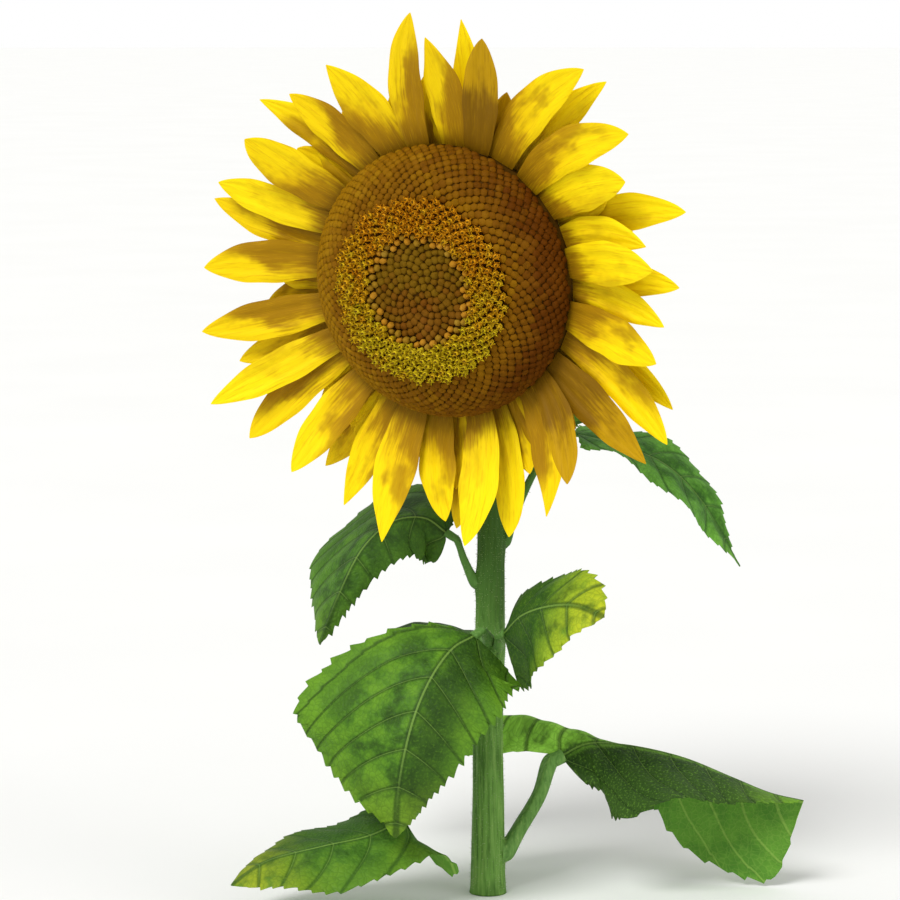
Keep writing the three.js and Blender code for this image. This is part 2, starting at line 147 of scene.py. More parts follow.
def circle(sides: int) -> Array:
    """Points (sides, 3) of a unit circle about +Z."""
    angle = even_turns(sides)
    return np.stack([np.cos(angle), np.sin(angle), np.zeros(sides)], axis=-1)


def turn_about_z(angle: Array) -> tuple[Array, Array]:
    """Outward and sideways unit vectors at angles (radians) clockwise from +Y.

    Args:
        angle: angles from +Y towards +X.

    Returns:
        Outward (sin a, cos a, 0) and sideways (cos a, -sin a, 0) vectors.
    """
    zero = np.zeros_like(angle)
    outward = np.stack([np.sin(angle), np.cos(angle), zero], axis=-1)
    sideways = np.stack([np.cos(angle), -np.sin(angle), zero], axis=-1)
    return outward, sideways


class Course:
    """Smooth curve through points, measured by its own length.

    Between two points it is a cubic whose end slopes come from the neighbours,
    with each span timed by the square root of its chord (centripetal spline).
    """

    SAMPLES = 400
    STEP = 1e-4

    def __init__(self, points: Sequence[Sequence[float]] | Array) -> None:
        """Fits the curve.

        Args:
            points: points that the curve passes through, in order.
        """
        inner = np.asarray(points, float)
        first = 2 * inner[0] - inner[1]
        last = 2 * inner[-1] - inner[-2]
        self.knots = np.vstack([first, inner, last])
        self._times = np.linspace(0.0, 1.0, self.SAMPLES + 1)
        steps = np.diff(self._point(self._times), axis=0)
        self._travel = np.concatenate([[0.0], np.cumsum(np.linalg.norm(steps, axis=1))])
        self.length = float(self._travel[-1])

    def _point(self, times: Array) -> Array:
        """Points of the cubics.

        Args:
            times: times along the whole curve, from 0 to 1.

        Returns:
            One point for each time.
        """
        spans = len(self.knots) - 3
        place = np.clip(times, 0.0, 1.0) * spans
        span = np.minimum(place.astype(int), spans - 1)
        w = (place - span)[:, None]
        a, b, c, d = (self.knots[span + k] for k in range(4))
        ab, bc, cd = (
            np.sqrt(np.linalg.norm(q - p, axis=1, keepdims=True)) for p, q in ((a, b), (b, c), (c, d))
        )
        start = ((b - a) / ab - (c - a) / (ab + bc) + (c - b) / bc) * bc
        end = ((c - b) / bc - (d - b) / (bc + cd) + (d - c) / cd) * bc
        cube = 2 * b - 2 * c + start + end
        square = 3 * c - 3 * b - 2 * start - end
        return ((cube * w + square) * w + start) * w + b

    def at(self, share: Array) -> tuple[Array, Array]:
        """Points and directions at shares of the length.

        Args:
            share: shares of the whole length, from 0 to 1.

        Returns:
            Points (n, 3) and unit tangents (n, 3).
        """
        times = np.interp(np.asarray(share, float) * self.length, self._travel, self._times)
        ahead = self._point(np.minimum(times + self.STEP, 1.0))
        behind = self._point(np.maximum(times - self.STEP, 0.0))
        return self._point(times), unit(ahead - behind)


def carried(tangents: Array, start: Array) -> Array:
    """Direction across a path, carried along it with the least twist.

    Each step drops the part of the last direction that runs along the path.

    Args:
        tangents: unit tangents (n, 3) of the path.
        start: rough direction at its first point.

    Returns:
        Unit vectors (n, 3) square to the path.
    """
    directions = np.empty_like(tangents)
    current = np.asarray(start, float)
    for index, tangent in enumerate(tangents):
        current = unit(current - (current @ tangent) * tangent)
        directions[index] = current
    return directions


def rounded(outline: Sequence[Sequence[float]] | Array, count: int) -> Array:
    """Smooth profile through radii and heights, with its points in even steps."""
    flat = np.column_stack([outline, np.zeros(len(outline))])
    return Course(flat).at(np.linspace(0.0, 1.0, count))[0][:, :2]


def facing(grid: Array) -> Array:
    """Unit normals of a grid of points, across x along."""
    return unit(np.cross(np.gradient(grid, axis=1), np.gradient(grid, axis=0)))


def grid_faces(rows: int, cols: int, closed: bool = False, turned: bool = False) -> Array:
    """Quads of a grid of points stored row by row.

    Args:
        rows: rows of points.
        cols: points in a row.
        closed: whether the last column joins the first.
        turned: whether the faces look the other way.

    Returns:
        Corners (n, 4).
    """
    i = np.arange(rows - 1)[:, None] * cols
    j = np.arange(cols if closed else cols - 1)[None, :]
    k = (j + 1) % cols
    quads = np.stack(np.broadcast_arrays(i + j, i + k, i + cols + k, i + cols + j), -1).reshape(-1, 4)
    return quads[:, ::-1] if turned else quads


def fan_faces(hub: int, rim: Array) -> Array:
    """Triangles from a hub round a closed rim, as quads with no fourth corner."""
    after = np.roll(rim, -1)
    return np.stack([np.full_like(rim, hub), rim, after, np.full_like(rim, -1)], axis=-1)


def drum_faces(rings: int, sides: int) -> Array:
    """Faces of closed rings with a hub at each end, the hubs stored last.

    Args:
        rings: rings of points.
        sides: points in a ring.

    Returns:
        Corners (n, 4).
    """
    count, rim = rings * sides, np.arange(sides)
    return np.concatenate([
        grid_faces(rings, sides, closed=True),
        fan_faces(count, rim[::-1]),
        fan_faces(count + 1, rim + count - sides),
    ])


def add_object(name: str, data: bpy.types.ID) -> bpy.types.Object:
    """Puts an object made of a mesh, lamp or camera into the scene.

    Args:
        name: its name.
        data: what it is made of.

    Returns:
        The new object.
    """
    made = bpy.data.objects.new(name, data)
    bpy.context.scene.collection.objects.link(made)
    return made


@dataclass
class Shell:
    """Surface of one piece: points, corners of its faces, charts and finishes.

    A triangle has -1 as its fourth corner. `chart` is the place of each point
    on the unrolled piece (across, along) in CHART_UNIT, and `place` the shares
    of its length and half width.
    """

    points: Array
    faces: Array
    chart: Array
    place: Array
    finish: Array

    @classmethod
    def of(cls, points: Array, faces: Array, chart: Array | None = None,
           place: Array | None = None, finish: Array | int = 0) -> Shell:
        """Shell with empty charts and one finish where none are given.

        Args:
            points: points (..., 3).
            faces: corners (n, 4).
            chart: chart (..., 2), or none.
            place: shares (..., 2), or none.
            finish: finish of every face, or of each.

        Returns:
            The shell.
        """
        flat = points.reshape(-1, 3)
        blank = np.zeros((len(flat), 2))
        return cls(
            flat, faces,
            blank if chart is None else chart.reshape(-1, 2),
            blank if place is None else place.reshape(-1, 2),
            np.broadcast_to(np.asarray(finish), (len(faces),)).copy(),
        )

    @classmethod
    def joined(cls, shells: Sequence[Shell]) -> Shell:
        """All the shells as one, their corners renumbered.

        Args:
            shells: the shells, in the order in which they are to lie in the mesh.

        Returns:
            One shell.
        """
        offsets = np.cumsum([0] + [len(s.points) for s in shells[:-1]])
        faces = [np.where(s.faces < 0, -1, s.faces + o) for s, o in zip(shells, offsets)]
        parts = {key: np.concatenate([getattr(s, key) for s in shells])
                 for key in ("points", "chart", "place", "finish")}
        return cls(faces=np.concatenate(faces), **parts)

    def moved(self, place: HeadFrame) -> Shell:
        """The shell carried from the head's own frame into the plant's."""
        return Shell(place.world(self.points), self.faces, self.chart, self.place, self.finish)

    def build(self, name: str, finishes: Sequence[Finish], slot: Slot,
              replaces: Sequence[str], crease: float = 180.0) -> None:
        """Writes the mesh in metres and ties the piece to the frame.

        Args:
            name: the piece's name.
            finishes: finishes, in the order of the faces' numbers.
            slot: material slot of the record; not used.
            replaces: solids of the frame that it stands for.
            crease: angle between faces above which an edge is sharp.
        """
        used = self.faces >= 0
        corners = self.faces[used]
        sizes = used.sum(axis=1)
        mesh = bpy.data.meshes.new(name)
        mesh.vertices.add(len(self.points))
        mesh.vertices.foreach_set("co", (self.points * MM).ravel())
        mesh.loops.add(len(corners))
        mesh.loops.foreach_set("vertex_index", corners.astype(np.int32))
        mesh.polygons.add(len(sizes))
        starts = np.concatenate([[0], np.cumsum(sizes)[:-1]])
        mesh.polygons.foreach_set("loop_start", starts.astype(np.int32))
        mesh.polygons.foreach_set("material_index", self.finish.astype(np.int32))
        mesh.update(calc_edges=True)
        for layer, values in (("Chart", self.chart), ("Place", self.place)):
            if np.any(values):
                mesh.uv_layers.new(name=layer).data.foreach_set("uv", values[corners].ravel())
        mesh.shade_smooth()
        if crease < 180.0:
            mesh.set_sharp_from_angle(angle=np.radians(crease))
        for finish in finishes:
            mesh.materials.append(finish.material)
        piece = add_object(name, mesh)
        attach(piece, BODY)
        if replaces:
            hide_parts(*replaces)
        LOG.info("%s: %d faces", name, len(sizes))


def rings_round(centres: Array, tangents: Array, normals: Array, radii: Array) -> tuple[Array, Array]:
    """Rings of points round a path.

    A point is centre + r (cos a * normal + sin a * tangent x normal).

    Args:
        centres: path (rings, 3).
        tangents: unit tangents (rings, 3).
        normals: unit vectors across the path (rings, 3).
        radii: radius of each ring at each angle (rings, sides).

    Returns:
        Points (rings, sides, 3) and the outward direction at each.
    """
    angle = even_turns(radii.shape[1])[None, :, None]
    binormals = np.cross(tangents, normals)
    spokes = normals[:, None] * np.cos(angle) + binormals[:, None] * np.sin(angle)
    return centres[:, None] + spokes * radii[..., None], spokes


def tube_shell(points: Array, radii: Array, length: float) -> Shell:
    """Closed tube through rings of points, with both ends capped.

    Args:
        points: points (rings, sides, 3).
        radii: radius of each ring at each angle (rings, sides).
        length: length of the path.

    Returns:
        The tube.
    """
    rings, sides = radii.shape
    share = np.linspace(0.0, 1.0, rings)[:, None]
    turn = np.abs(even_turns(sides) / np.pi - 1.0)[None, :]
    chart = paired(turn * radii.mean() * np.pi, share * length) / CHART_UNIT
    layers = [
        np.vstack([layer.reshape(-1, 2), layer[[0, -1], 0]]) for layer in (chart, paired(share, turn))
    ]
    ends = points[[0, -1]].mean(axis=1)
    return Shell.of(np.vstack([points.reshape(-1, 3), ends]), drum_faces(rings, sides), *layers)


def plate_shell(middle: Array, above: Array, below: Array, chart: Array, place: Array) -> Shell:
    """Closed thin plate round a grid of points.

    Each face stands off the middle surface along its normal, across x along.

    Args:
        middle: points (rows, cols, 3) of the middle surface.
        above: how far the upper face stands off (rows, cols).
        below: how far the lower face stands off (rows, cols).
        chart: unrolled place of the points (rows, cols, 2).
        place: shares of length and half width (rows, cols, 2).

    Returns:
        The plate; finish 0 is the upper face with the rim, 1 the lower face.
    """
    rows, cols = middle.shape[:2]
    normal = facing(middle)
    points = np.stack([middle + normal * above[..., None], middle - normal * below[..., None]])
    under = rows * cols
    index = np.arange(under).reshape(rows, cols)
    ring = np.concatenate([index[0, :-1], index[:-1, -1], index[-1, :0:-1], index[:0:-1, 0]])
    after = np.roll(ring, -1)
    upper = grid_faces(rows, cols)
    lower = grid_faces(rows, cols, turned=True) + under
    rim = np.stack([after, ring, ring + under, after + under], axis=-1)
    finish = np.repeat([0, 1, 0], [len(upper), len(lower), len(rim)])
    return Shell.of(points, np.concatenate([upper, lower, rim]),
                    np.stack([chart, chart]), np.stack([place, place]), finish)


def lathe_shell(profile: Array, segments: int) -> Shell:
    """Solid of revolution about the head's axis.

    Args:
        profile: radius and height (n, 2) from the bottom up, both ends on the axis.
        segments: steps round.

    Returns:
        The turned shell, closed at its poles.
    """
    ring = profile[1:-1]
    outward, _ = turn_about_z(-even_turns(segments))
    points = outward[None] * ring[:, None, :1]
    points[..., 2] = ring[:, None, 1]
    poles = np.array([[0.0, 0.0, profile[0, 1]], [0.0, 0.0, profile[-1, 1]]])
    return Shell.of(np.vstack([points.reshape(-1, 3), poles]), drum_faces(len(ring), segments))


def scattered(kernel: Shell, origins: Array, frames: Array) -> Shell:
    """Copies of a small shell, one at each origin in its own frame.

    A copy's point is origin + frame x point.

    Args:
        kernel: the small shell, in its own millimetres.
        origins: places (n, 3).
        frames: scaled axes as columns (n, 3, 3).

    Returns:
        All the copies as one shell.
    """
    count, size = len(origins), len(kernel.points)
    points = origins[:, None] + np.einsum("nij,kj->nki", frames, kernel.points)
    shift = size * np.arange(count)[:, None, None]
    faces = np.where(kernel.faces[None] < 0, -1, kernel.faces[None] + shift).reshape(-1, 4)
    return Shell.of(points, faces, finish=np.tile(kernel.finish, count))


# ---- Shader maths ------------------------------------------------------------
def linear(tint: str) -> tuple[float, float, float, float]:
    """Linear red, green and blue, and an alpha of 1, of a colour written as #RRGGBB."""
    shares = [int(tint[k:k + 2], 16) / 255.0 for k in (1, 3, 5)]
    return (*(s / 12.92 if s <= 0.04045 else ((s + 0.055) / 1.055) ** 2.4 for s in shares), 1.0)


class Shade:
    """A number on its way through a shader, with Python's own operators."""

    def __init__(self, graph: Graph, socket: bpy.types.NodeSocket) -> None:
        """Wraps the output socket that holds the number."""
        self.graph = graph
        self.socket = socket

    def __add__(self, other: Shade | float) -> Shade:
        """Sum."""
        return self.graph.maths("ADD", self, other)

    def __sub__(self, other: Shade | float) -> Shade:
        """Difference."""
        return self.graph.maths("SUBTRACT", self, other)

    def __rsub__(self, other: float) -> Shade:
        """Difference from a plain number."""
        return self.graph.maths("SUBTRACT", other, self)

    def __mul__(self, other: Shade | float) -> Shade:
        """Product."""
        return self.graph.maths("MULTIPLY", self, other)

    def __truediv__(self, other: Shade | float) -> Shade:
        """Quotient."""
        return self.graph.maths("DIVIDE", self, other)

    def __rtruediv__(self, other: float) -> Shade:
        """Quotient of a plain number."""
        return self.graph.maths("DIVIDE", other, self)

    __radd__ = __add__
    __rmul__ = __mul__

    def __abs__(self) -> Shade:
        """Size without sign."""
        return self.graph.maths("ABSOLUTE", self)

    def rounded(self) -> Shade:
        """Nearest whole number."""
        return self.graph.maths("ROUND", self)

    def eased(self, low: float, high: float) -> Shade:
        """Smoothstep of this value.

        Args:
            low: value at which the result is 0.
            high: value at which it is 1; below `low`, the step falls.

        Returns:
            A value from 0 to 1.
        """
        settings = {"interpolation_type": "SMOOTHSTEP"}
        ends = {1: low, 2: high} if low < high else {1: high, 2: low, 3: 1.0, 4: 0.0}
        return self.graph.node("ShaderNodeMapRange", settings, {0: self, **ends})


class Graph:
    """Node tree of one material, with its surface shader ready."""

    def __init__(self, material: bpy.types.Material) -> None:
        """Takes over a material that uses nodes."""
        self.tree = material.node_tree
        self.shader = self.tree.nodes["Principled BSDF"]

    def node(self, kind: str, settings: Mapping[str, object] | None = None,
             inputs: Mapping[int | str, object] | None = None, output: int | str = 0) -> Shade:
        """Adds a node.

        Args:
            kind: its type.
            settings: its properties, such as an operation.
            inputs: values or links by socket.
            output: the socket that is handed back.

        Returns:
            The chosen output.
        """
        made = self.tree.nodes.new(kind)
        for key, value in (settings or {}).items():
            setattr(made, key, value)
        for key, value in (inputs or {}).items():
            self.feed(made.inputs[key], value)
        return Shade(self, made.outputs[output])

    def feed(self, socket: bpy.types.NodeSocket, value: object) -> None:
        """Links a shade into a socket, or sets the socket to a plain value.

        Args:
            socket: the socket of a node.
            value: a shade, or what the socket is set to.
        """
        if isinstance(value, Shade):
            self.tree.links.new(value.socket, socket)
        else:
            socket.default_value = value

    def maths(self, operation: str, *values: Shade | float) -> Shade:
        """Adds a Math node for an operation on numbers."""
        return self.node("ShaderNodeMath", {"operation": operation}, dict(enumerate(values)))

    def layered(self, colour: Shade | str, *layers: tuple[Shade | str, Shade | float]) -> Shade:
        """Lays colours over one another.

        Args:
            colour: the colour below.
            layers: a colour and how much of it covers what lies below, in order.

        Returns:
            The colour on top.
        """
        for tint, share in layers:
            ends = [c if isinstance(c, Shade) else linear(c) for c in (colour, tint)]
            colour = self.node("ShaderNodeMix", {"data_type": "RGBA", "blend_type": "MIX"},
                               {0: share, 6: ends[0], 7: ends[1]}, 2)
        return colour

    def split(self, vector: Shade) -> tuple[Shade, Shade, Shade]:
        """The three numbers of a vector.

        Args:
            vector: a vector or a colour.

        Returns:
            Its first, second and third number.
        """
        made = self.tree.nodes.new("ShaderNodeSeparateXYZ")
        self.feed(made.inputs[0], vector)
        return tuple(Shade(self, made.outputs[k]) for k in range(3))

    def millimetres(self) -> tuple[Shade, Shade, Shade]:
        """The chart of an unrolled piece.

        Returns:
            The chart itself, then the places across and along in millimetres.
        """
        chart = self.chart("Chart")
        across, along, _ = self.split(chart)
        return chart, across * CHART_UNIT, along * CHART_UNIT

    def object_place(self) -> Shade:
        """The piece's own coordinates, in metres."""
        return self.node("ShaderNodeTexCoord", output="Object")

    def chart(self, layer: str) -> Shade:
        """One of the piece's own charts."""
        return self.node("ShaderNodeUVMap", {"uv_map": layer})

    def stretched(self, vector: Shade, scale: Point) -> Shade:
        """A vector times a scale for each axis."""
        inputs = {"Vector": vector, "Scale": scale}
        return self.node("ShaderNodeMapping", {"vector_type": "POINT"}, inputs)

    def noise(self, vector: Shade, scale: float, detail: float = 3.0, roughness: float = 0.55) -> Shade:
        """Soft noise, mostly between 0.3 and 0.7."""
        inputs = {"Vector": vector, "Scale": scale, "Detail": detail, "Roughness": roughness}
        return self.node("ShaderNodeTexNoise", None, inputs)

    def cells(self, vector: Shade, scale: float) -> Shade:
        """Distance to the edges of a net of cells."""
        return self.node("ShaderNodeTexVoronoi", {"feature": "DISTANCE_TO_EDGE"},
                         {"Vector": vector, "Scale": scale})

    def bump(self, height: Shade, strength: float, distance: float) -> Shade:
        """Normal bent by a height, with its full depth in millimetres."""
        return self.node("ShaderNodeBump", None,
                         {"Height": height, "Strength": strength, "Distance": distance * MM})

    def surface(self, colour: Shade, roughness: Shade | float, normal: Shade | None = None,
                **constants: float) -> None:
        """Feeds the surface shader.

        Args:
            colour: base colour.
            roughness: roughness.
            normal: bent normal.
            constants: other sockets, by name with _ for a space.
        """
        self.feed(self.shader.inputs["Base Color"], colour)
        self.feed(self.shader.inputs["Roughness"], roughness)
        if normal is not None:
            self.feed(self.shader.inputs["Normal"], normal)
        for key, value in constants.items():
            self.shader.inputs[key.replace("_", " ")].default_value = value


# ---- Finishes ----------------------------------------------------------------
@dataclass(frozen=True)
class Finish:
    """A finish that paints one material."""

    name: str

    def paint(self, graph: Graph) -> None:
        """Adds the nodes of the finish."""
        raise NotImplementedError

    @property
    def material(self) -> bpy.types.Material:
        """The material, painted when it is first asked for.

        Returns:
            The material that has the finish's name.
        """
        made = bpy.data.materials.get(self.name)
        if made is None:
            made = bpy.data.materials.new(self.name)
            made.use_nodes = True
            self.paint(Graph(made))
        return made


@dataclass(frozen=True)
class Venation:
    """Net of side veins on a leaf, written once for meshes and for shaders.

    Side veins leave the midrib at a slant and bend towards the tip, so each
    lies where (along - slope |across| - bend across^2) / spacing is whole.
    """

    spacing: float = 23.0
    slope: float = 0.34
    bend: float = 0.0105
    slant: float = 0.85  # distance square to a vein over distance along the midrib

    def phase(self, across: Array | Shade, along: Array | Shade) -> Array | Shade:
        """Count of side veins up to a place, in millimetres across and along."""
        side = abs(across)
        return (along - side * self.slope - side * side * self.bend) / self.spacing

    def painted(self, across: Shade, along: Shade) -> Shade:
        """Distance to the nearest side vein, in millimetres, square to the vein."""
        phase = self.phase(across, along)
        return abs(phase - phase.rounded()) * (self.spacing * self.slant)


@dataclass(frozen=True)
class LeafFinish(Finish):
    """Upper side of a leaf: mottled green, darker by the midrib, with veins, painted shade in their
    grooves and over one half.
    """

    body: str = "#4E7F28"
    dark: str = "#2C5214"
    light: str = "#6FA233"
    tip: str = "#7FA22C"
    vein: str = "#86AA4C"
    tip_from: float = 0.7
    shaded_side: float = 0.0  # half that carries painted shade, -1 left or 1 right
    fold: float = 30.0  # how far the painted shade reaches from the midrib
    shade_to: float = 0.0  # share of the blade next to the petiole that lies in shade
    veins: Venation = Venation()

    def paint(self, graph: Graph) -> None:
        """Green in patches, with painted shade along the veins and over one half, warmer to the tip.

        Args:
            graph: the node tree of its material.
        """
        chart, across, along = graph.millimetres()
        share, out, _ = graph.split(graph.chart("Place"))
        side, near = abs(across), self.veins.painted(across, along)
        patches = graph.noise(chart, 5.0, 3.0, 0.6)
        fleck = graph.noise(chart, 60.0, 2.0)
        net = graph.cells(chart, 30.0)
        # painted shade over one half of the blade, from the midrib out
        aside = across * self.shaded_side
        half_shade = aside.eased(-2.0, 8.0) * aside.eased(1.3 * self.fold, 0.5 * self.fold)
        colour = graph.layered(
            self.body,
            (self.light, patches.eased(0.45, 0.65) * 0.75),
            (self.light, out.eased(0.4, 1.0) * 0.45),
            (self.dark, patches.eased(0.52, 0.36) * out.eased(0.95, 0.3) * 0.8),
            (self.dark, half_shade * (0.75 * abs(self.shaded_side))),
        )
        if self.shade_to:
            shade = (share + (patches - 0.5) * 0.3).eased(self.shade_to, 0.4 * self.shade_to)
            colour = graph.layered(colour, (self.dark, shade * 0.85))
        mellow = share.eased(self.tip_from, 1.0) * patches.eased(0.25, 0.55)
        colour = graph.layered(
            colour,
            (self.tip, mellow * 0.95),
            # painted shade in the grooves along the side veins and beside the midrib; the pale lines
            # below are the veins' own colour
            (self.dark, near.eased(2.4, 0.2) * 0.7),
            (self.dark, side.eased(3.2, 1.0) * 0.75),
            (self.dark, net.eased(0.12, 0.0) * 0.25),
            (self.light, fleck.eased(0.5, 0.75) * 0.25),
            (self.vein, near.eased(0.4, 0.1) * out.eased(0.9, 0.3) * 0.3),
            (self.vein, side.eased(0.8, 0.4) * share.eased(0.95, 0.5) * 0.5),
        )
        relief = net.eased(0.0, 0.35) * 0.6 + near.eased(0.1, 1.4) * 0.8 + fleck * 0.5
        graph.surface(colour, fleck * 0.2 + 0.5, graph.bump(relief, 0.8, 0.5), Specular_IOR_Level=0.18)


@dataclass(frozen=True)
class UnderLeafFinish(Finish):
    """Lower side of a leaf: paler, matt, with raised pale veins."""

    body: str = "#5F9230"
    dark: str = "#477A26"
    vein: str = "#8FB450"
    veins: Venation = Venation()

    def paint(self, graph: Graph) -> None:
        """Pale green with a light net of veins.

        Args:
            graph: the node tree of its material.
        """
        chart, across, along = graph.millimetres()
        lines = self.veins.painted(across, along).eased(1.1, 0.4)
        net = graph.cells(chart, 30.0)
        fleck = graph.noise(chart, 50.0, 3.0)
        cloud = graph.noise(chart, 5.0, 3.0, 0.6)
        colour = graph.layered(
            self.body,
            (self.dark, cloud.eased(0.42, 0.66) * 0.8),
            (self.vein, lines * 0.55),
            (self.vein, abs(across).eased(2.6, 1.2) * 0.8),
            (self.vein, net.eased(0.1, 0.0) * 0.2),
            (self.dark, fleck.eased(0.45, 0.7) * 0.3),
        )
        relief = lines + net.eased(0.15, 0.0) * 0.4 + fleck * 0.3
        graph.surface(colour, fleck * 0.15 + 0.6, graph.bump(relief, 0.7, 0.5), Specular_IOR_Level=0.15)


@dataclass(frozen=True)
class StalkFinish(Finish):
    """Stem and petioles: ribbed green in dark and pale streaks with pale flecks, and painted shade high
    up.
    """

    body: str = "#64903C"
    dark: str = "#325616"
    light: str = "#82A652"

    def paint(self, graph: Graph) -> None:
        """Green in long streaks, with painted shade towards the head.

        Args:
            graph: the node tree of its material.
        """
        place = graph.object_place()
        streak = graph.noise(graph.stretched(place, (1.0, 1.0, 0.06)), 520.0, 3.0)
        cloud = graph.noise(place, 28.0, 3.0)
        fleck = graph.noise(graph.stretched(place, (1.0, 1.0, 0.35)), 900.0, 2.0)
        _, _, height = graph.split(place)
        colour = graph.layered(
            self.body,
            (self.dark, streak.eased(0.5, 0.66) * 0.6),
            (self.dark, cloud.eased(0.48, 0.7) * 0.55),
            (self.light, streak.eased(0.48, 0.34) * 0.55),
            (self.light, fleck.eased(0.6, 0.75) * 0.4),
            # painted shade on the stem and petioles from 130 mm up, under the head
            (self.dark, height.eased(0.13, 0.2) * 0.9),
        )
        relief = streak + fleck * 0.6
        graph.surface(colour, streak * 0.25 + 0.5, graph.bump(relief, 0.5, 0.5), Specular_IOR_Level=0.2)


@dataclass(frozen=True)
class PetalFinish(Finish):
    """A ray petal: clear yellow, streaked gold, with an ochre foot and painted shade."""

    body: str = "#F0CE00"
    gold: str = "#D8AA00"
    ochre: str = "#9E7400"
    umber: str = "#684600"
    foot: float = 0.42  # share of the length that the ochre reaches up: the petal's own amber foot and painted shade
    shaded: float = 0.5  # how strongly gold covers the petal, as painted shade
    side: float = 0.0  # which edge the shading keeps to, -1 to 1

    def paint(self, graph: Graph) -> None:
        """Yellow with long gold streaks, an ochre foot and patches of painted shade.

        Args:
            graph: the node tree of its material.
        """
        chart = graph.chart("Chart")
        share = graph.split(graph.chart("Place"))[0]
        streak = graph.noise(graph.stretched(chart, (26.0, 1.6, 1.0)), 3.0, 3.0, 0.6)
        cloud = graph.noise(graph.stretched(chart, (3.0, 1.4, 1.0)), 2.4, 3.0, 0.6)
        fine = graph.noise(graph.stretched(chart, (60.0, 2.0, 1.0)), 4.0, 2.0)
        lean = graph.split(chart)[0] * (self.side * 6.0)
        # painted shade: gold and ochre patches that lean to one edge, and a foot of ochre and umber
        # that is partly the petal's own colour and partly painted shade
        gold = (share.eased(0.95, 0.1) + cloud - 0.5 + lean).eased(0.2, 0.95)
        reach = share.eased(self.foot + 0.25, self.foot - 0.25)
        ochre = (reach + (streak - 0.5) * 0.9 + (cloud - 0.5) * 1.2 + lean).eased(0.35, 1.0)
        patch = (cloud + lean * 0.5).eased(0.46, 0.68) * share.eased(0.95, 0.65)
        colour = graph.layered(
            self.body,
            (self.gold, gold * self.shaded),
            (self.gold, streak.eased(0.5, 0.7) * 0.6),
            (self.ochre, patch * (self.shaded * 0.85)),
            (self.ochre, ochre),
            (self.umber, share.eased(0.22, 0.0) * 0.7),
            (self.gold, fine.eased(0.52, 0.7) * 0.3),
        )
        relief = streak * 0.8 + fine * 0.6
        graph.surface(colour, fine * 0.2 + 0.5, graph.bump(relief, 0.6, 0.4), Specular_IOR_Level=0.12)


@dataclass(frozen=True)
class FloretFinish(Finish):
    """Florets of the disc: one plain colour, gently mottled."""

    body: str = "#70490C"
    dark: str = "#4A2E06"
    light: str = "#8E6418"
    rough: float = 0.7

    def paint(self, graph: Graph) -> None:
        """Brown or gold, mottled a little.

        Args:
            graph: the node tree of its material.
        """
        place = graph.object_place()
        mottle = graph.noise(place, 420.0, 2.0)
        cloud = graph.noise(place, 60.0, 2.0)
        colour = graph.layered(
            self.body,
            (self.dark, mottle.eased(0.48, 0.7) * 0.5),
            (self.light, cloud.eased(0.5, 0.7) * 0.4),
        )
        graph.surface(colour, mottle * 0.2 + (self.rough - 0.1), graph.bump(mottle, 0.4, 0.3),
                      Specular_IOR_Level=0.05)


@dataclass(frozen=True)
class BractFinish(Finish):
    """Bracts and the back of the head: soft green, veined lengthways."""

    body: str = "#5C8634"
    dark: str = "#3C6420"
    light: str = "#86A84A"

    def paint(self, graph: Graph) -> None:
        """Green in soft patches.

        Args:
            graph: the node tree of its material.
        """
        place = graph.object_place()
        cloud = graph.noise(place, 45.0, 3.0)
        fleck = graph.noise(place, 420.0, 3.0)
        colour = graph.layered(
            self.body,
            (self.dark, cloud.eased(0.45, 0.68) * 0.7),
            (self.light, fleck.eased(0.5, 0.72) * 0.5),
        )
        graph.surface(colour, fleck * 0.2 + 0.48, graph.bump(fleck, 0.5, 0.4), Specular_IOR_Level=0.3)


@dataclass(frozen=True)
class GroundFinish(Finish):
    """Plain pale floor of the studio."""

    body: str = "#F4F4F2"
    dark: str = "#EFEFEC"

    def paint(self, graph: Graph) -> None:
        """Nearly white, with the faintest grain."""
        grain = graph.noise(graph.object_place(), 3.0, 2.0)
        graph.surface(graph.layered(self.body, (self.dark, grain)), 0.9)


# ---- Stem --------------------------------------------------------------------
@dataclass(frozen=True)
class HeadFrame:
    """Place of the head: its rim plane's middle and the way that it faces."""

    centre: Point = (-25.5, -40.0, 376.5)
    turn: float = 26.0  # face turned from -Y towards -X
    nod: float = 7.0  # face looks below the horizon
    depth: float = 28.0  # rim plane back to the neck

    @cached_property
    def axes(self) -> Array:
        """Directions of the head: across it, up it and the way that it faces.

        Returns:
            A turning matrix with these as its columns.
        """
        turn, nod = np.radians([self.turn, self.nod])
        forward = np.array([-np.sin(turn) * np.cos(nod), -np.cos(turn) * np.cos(nod), -np.sin(nod)])
        across = np.array([np.cos(turn), -np.sin(turn), 0.0])
        return np.stack([across, np.cross(forward, across), forward], axis=-1)

    def world(self, points: Array) -> Array:
        """Points of the head's own frame in the plant's frame."""
        return points @ self.axes.T + np.asarray(self.centre)


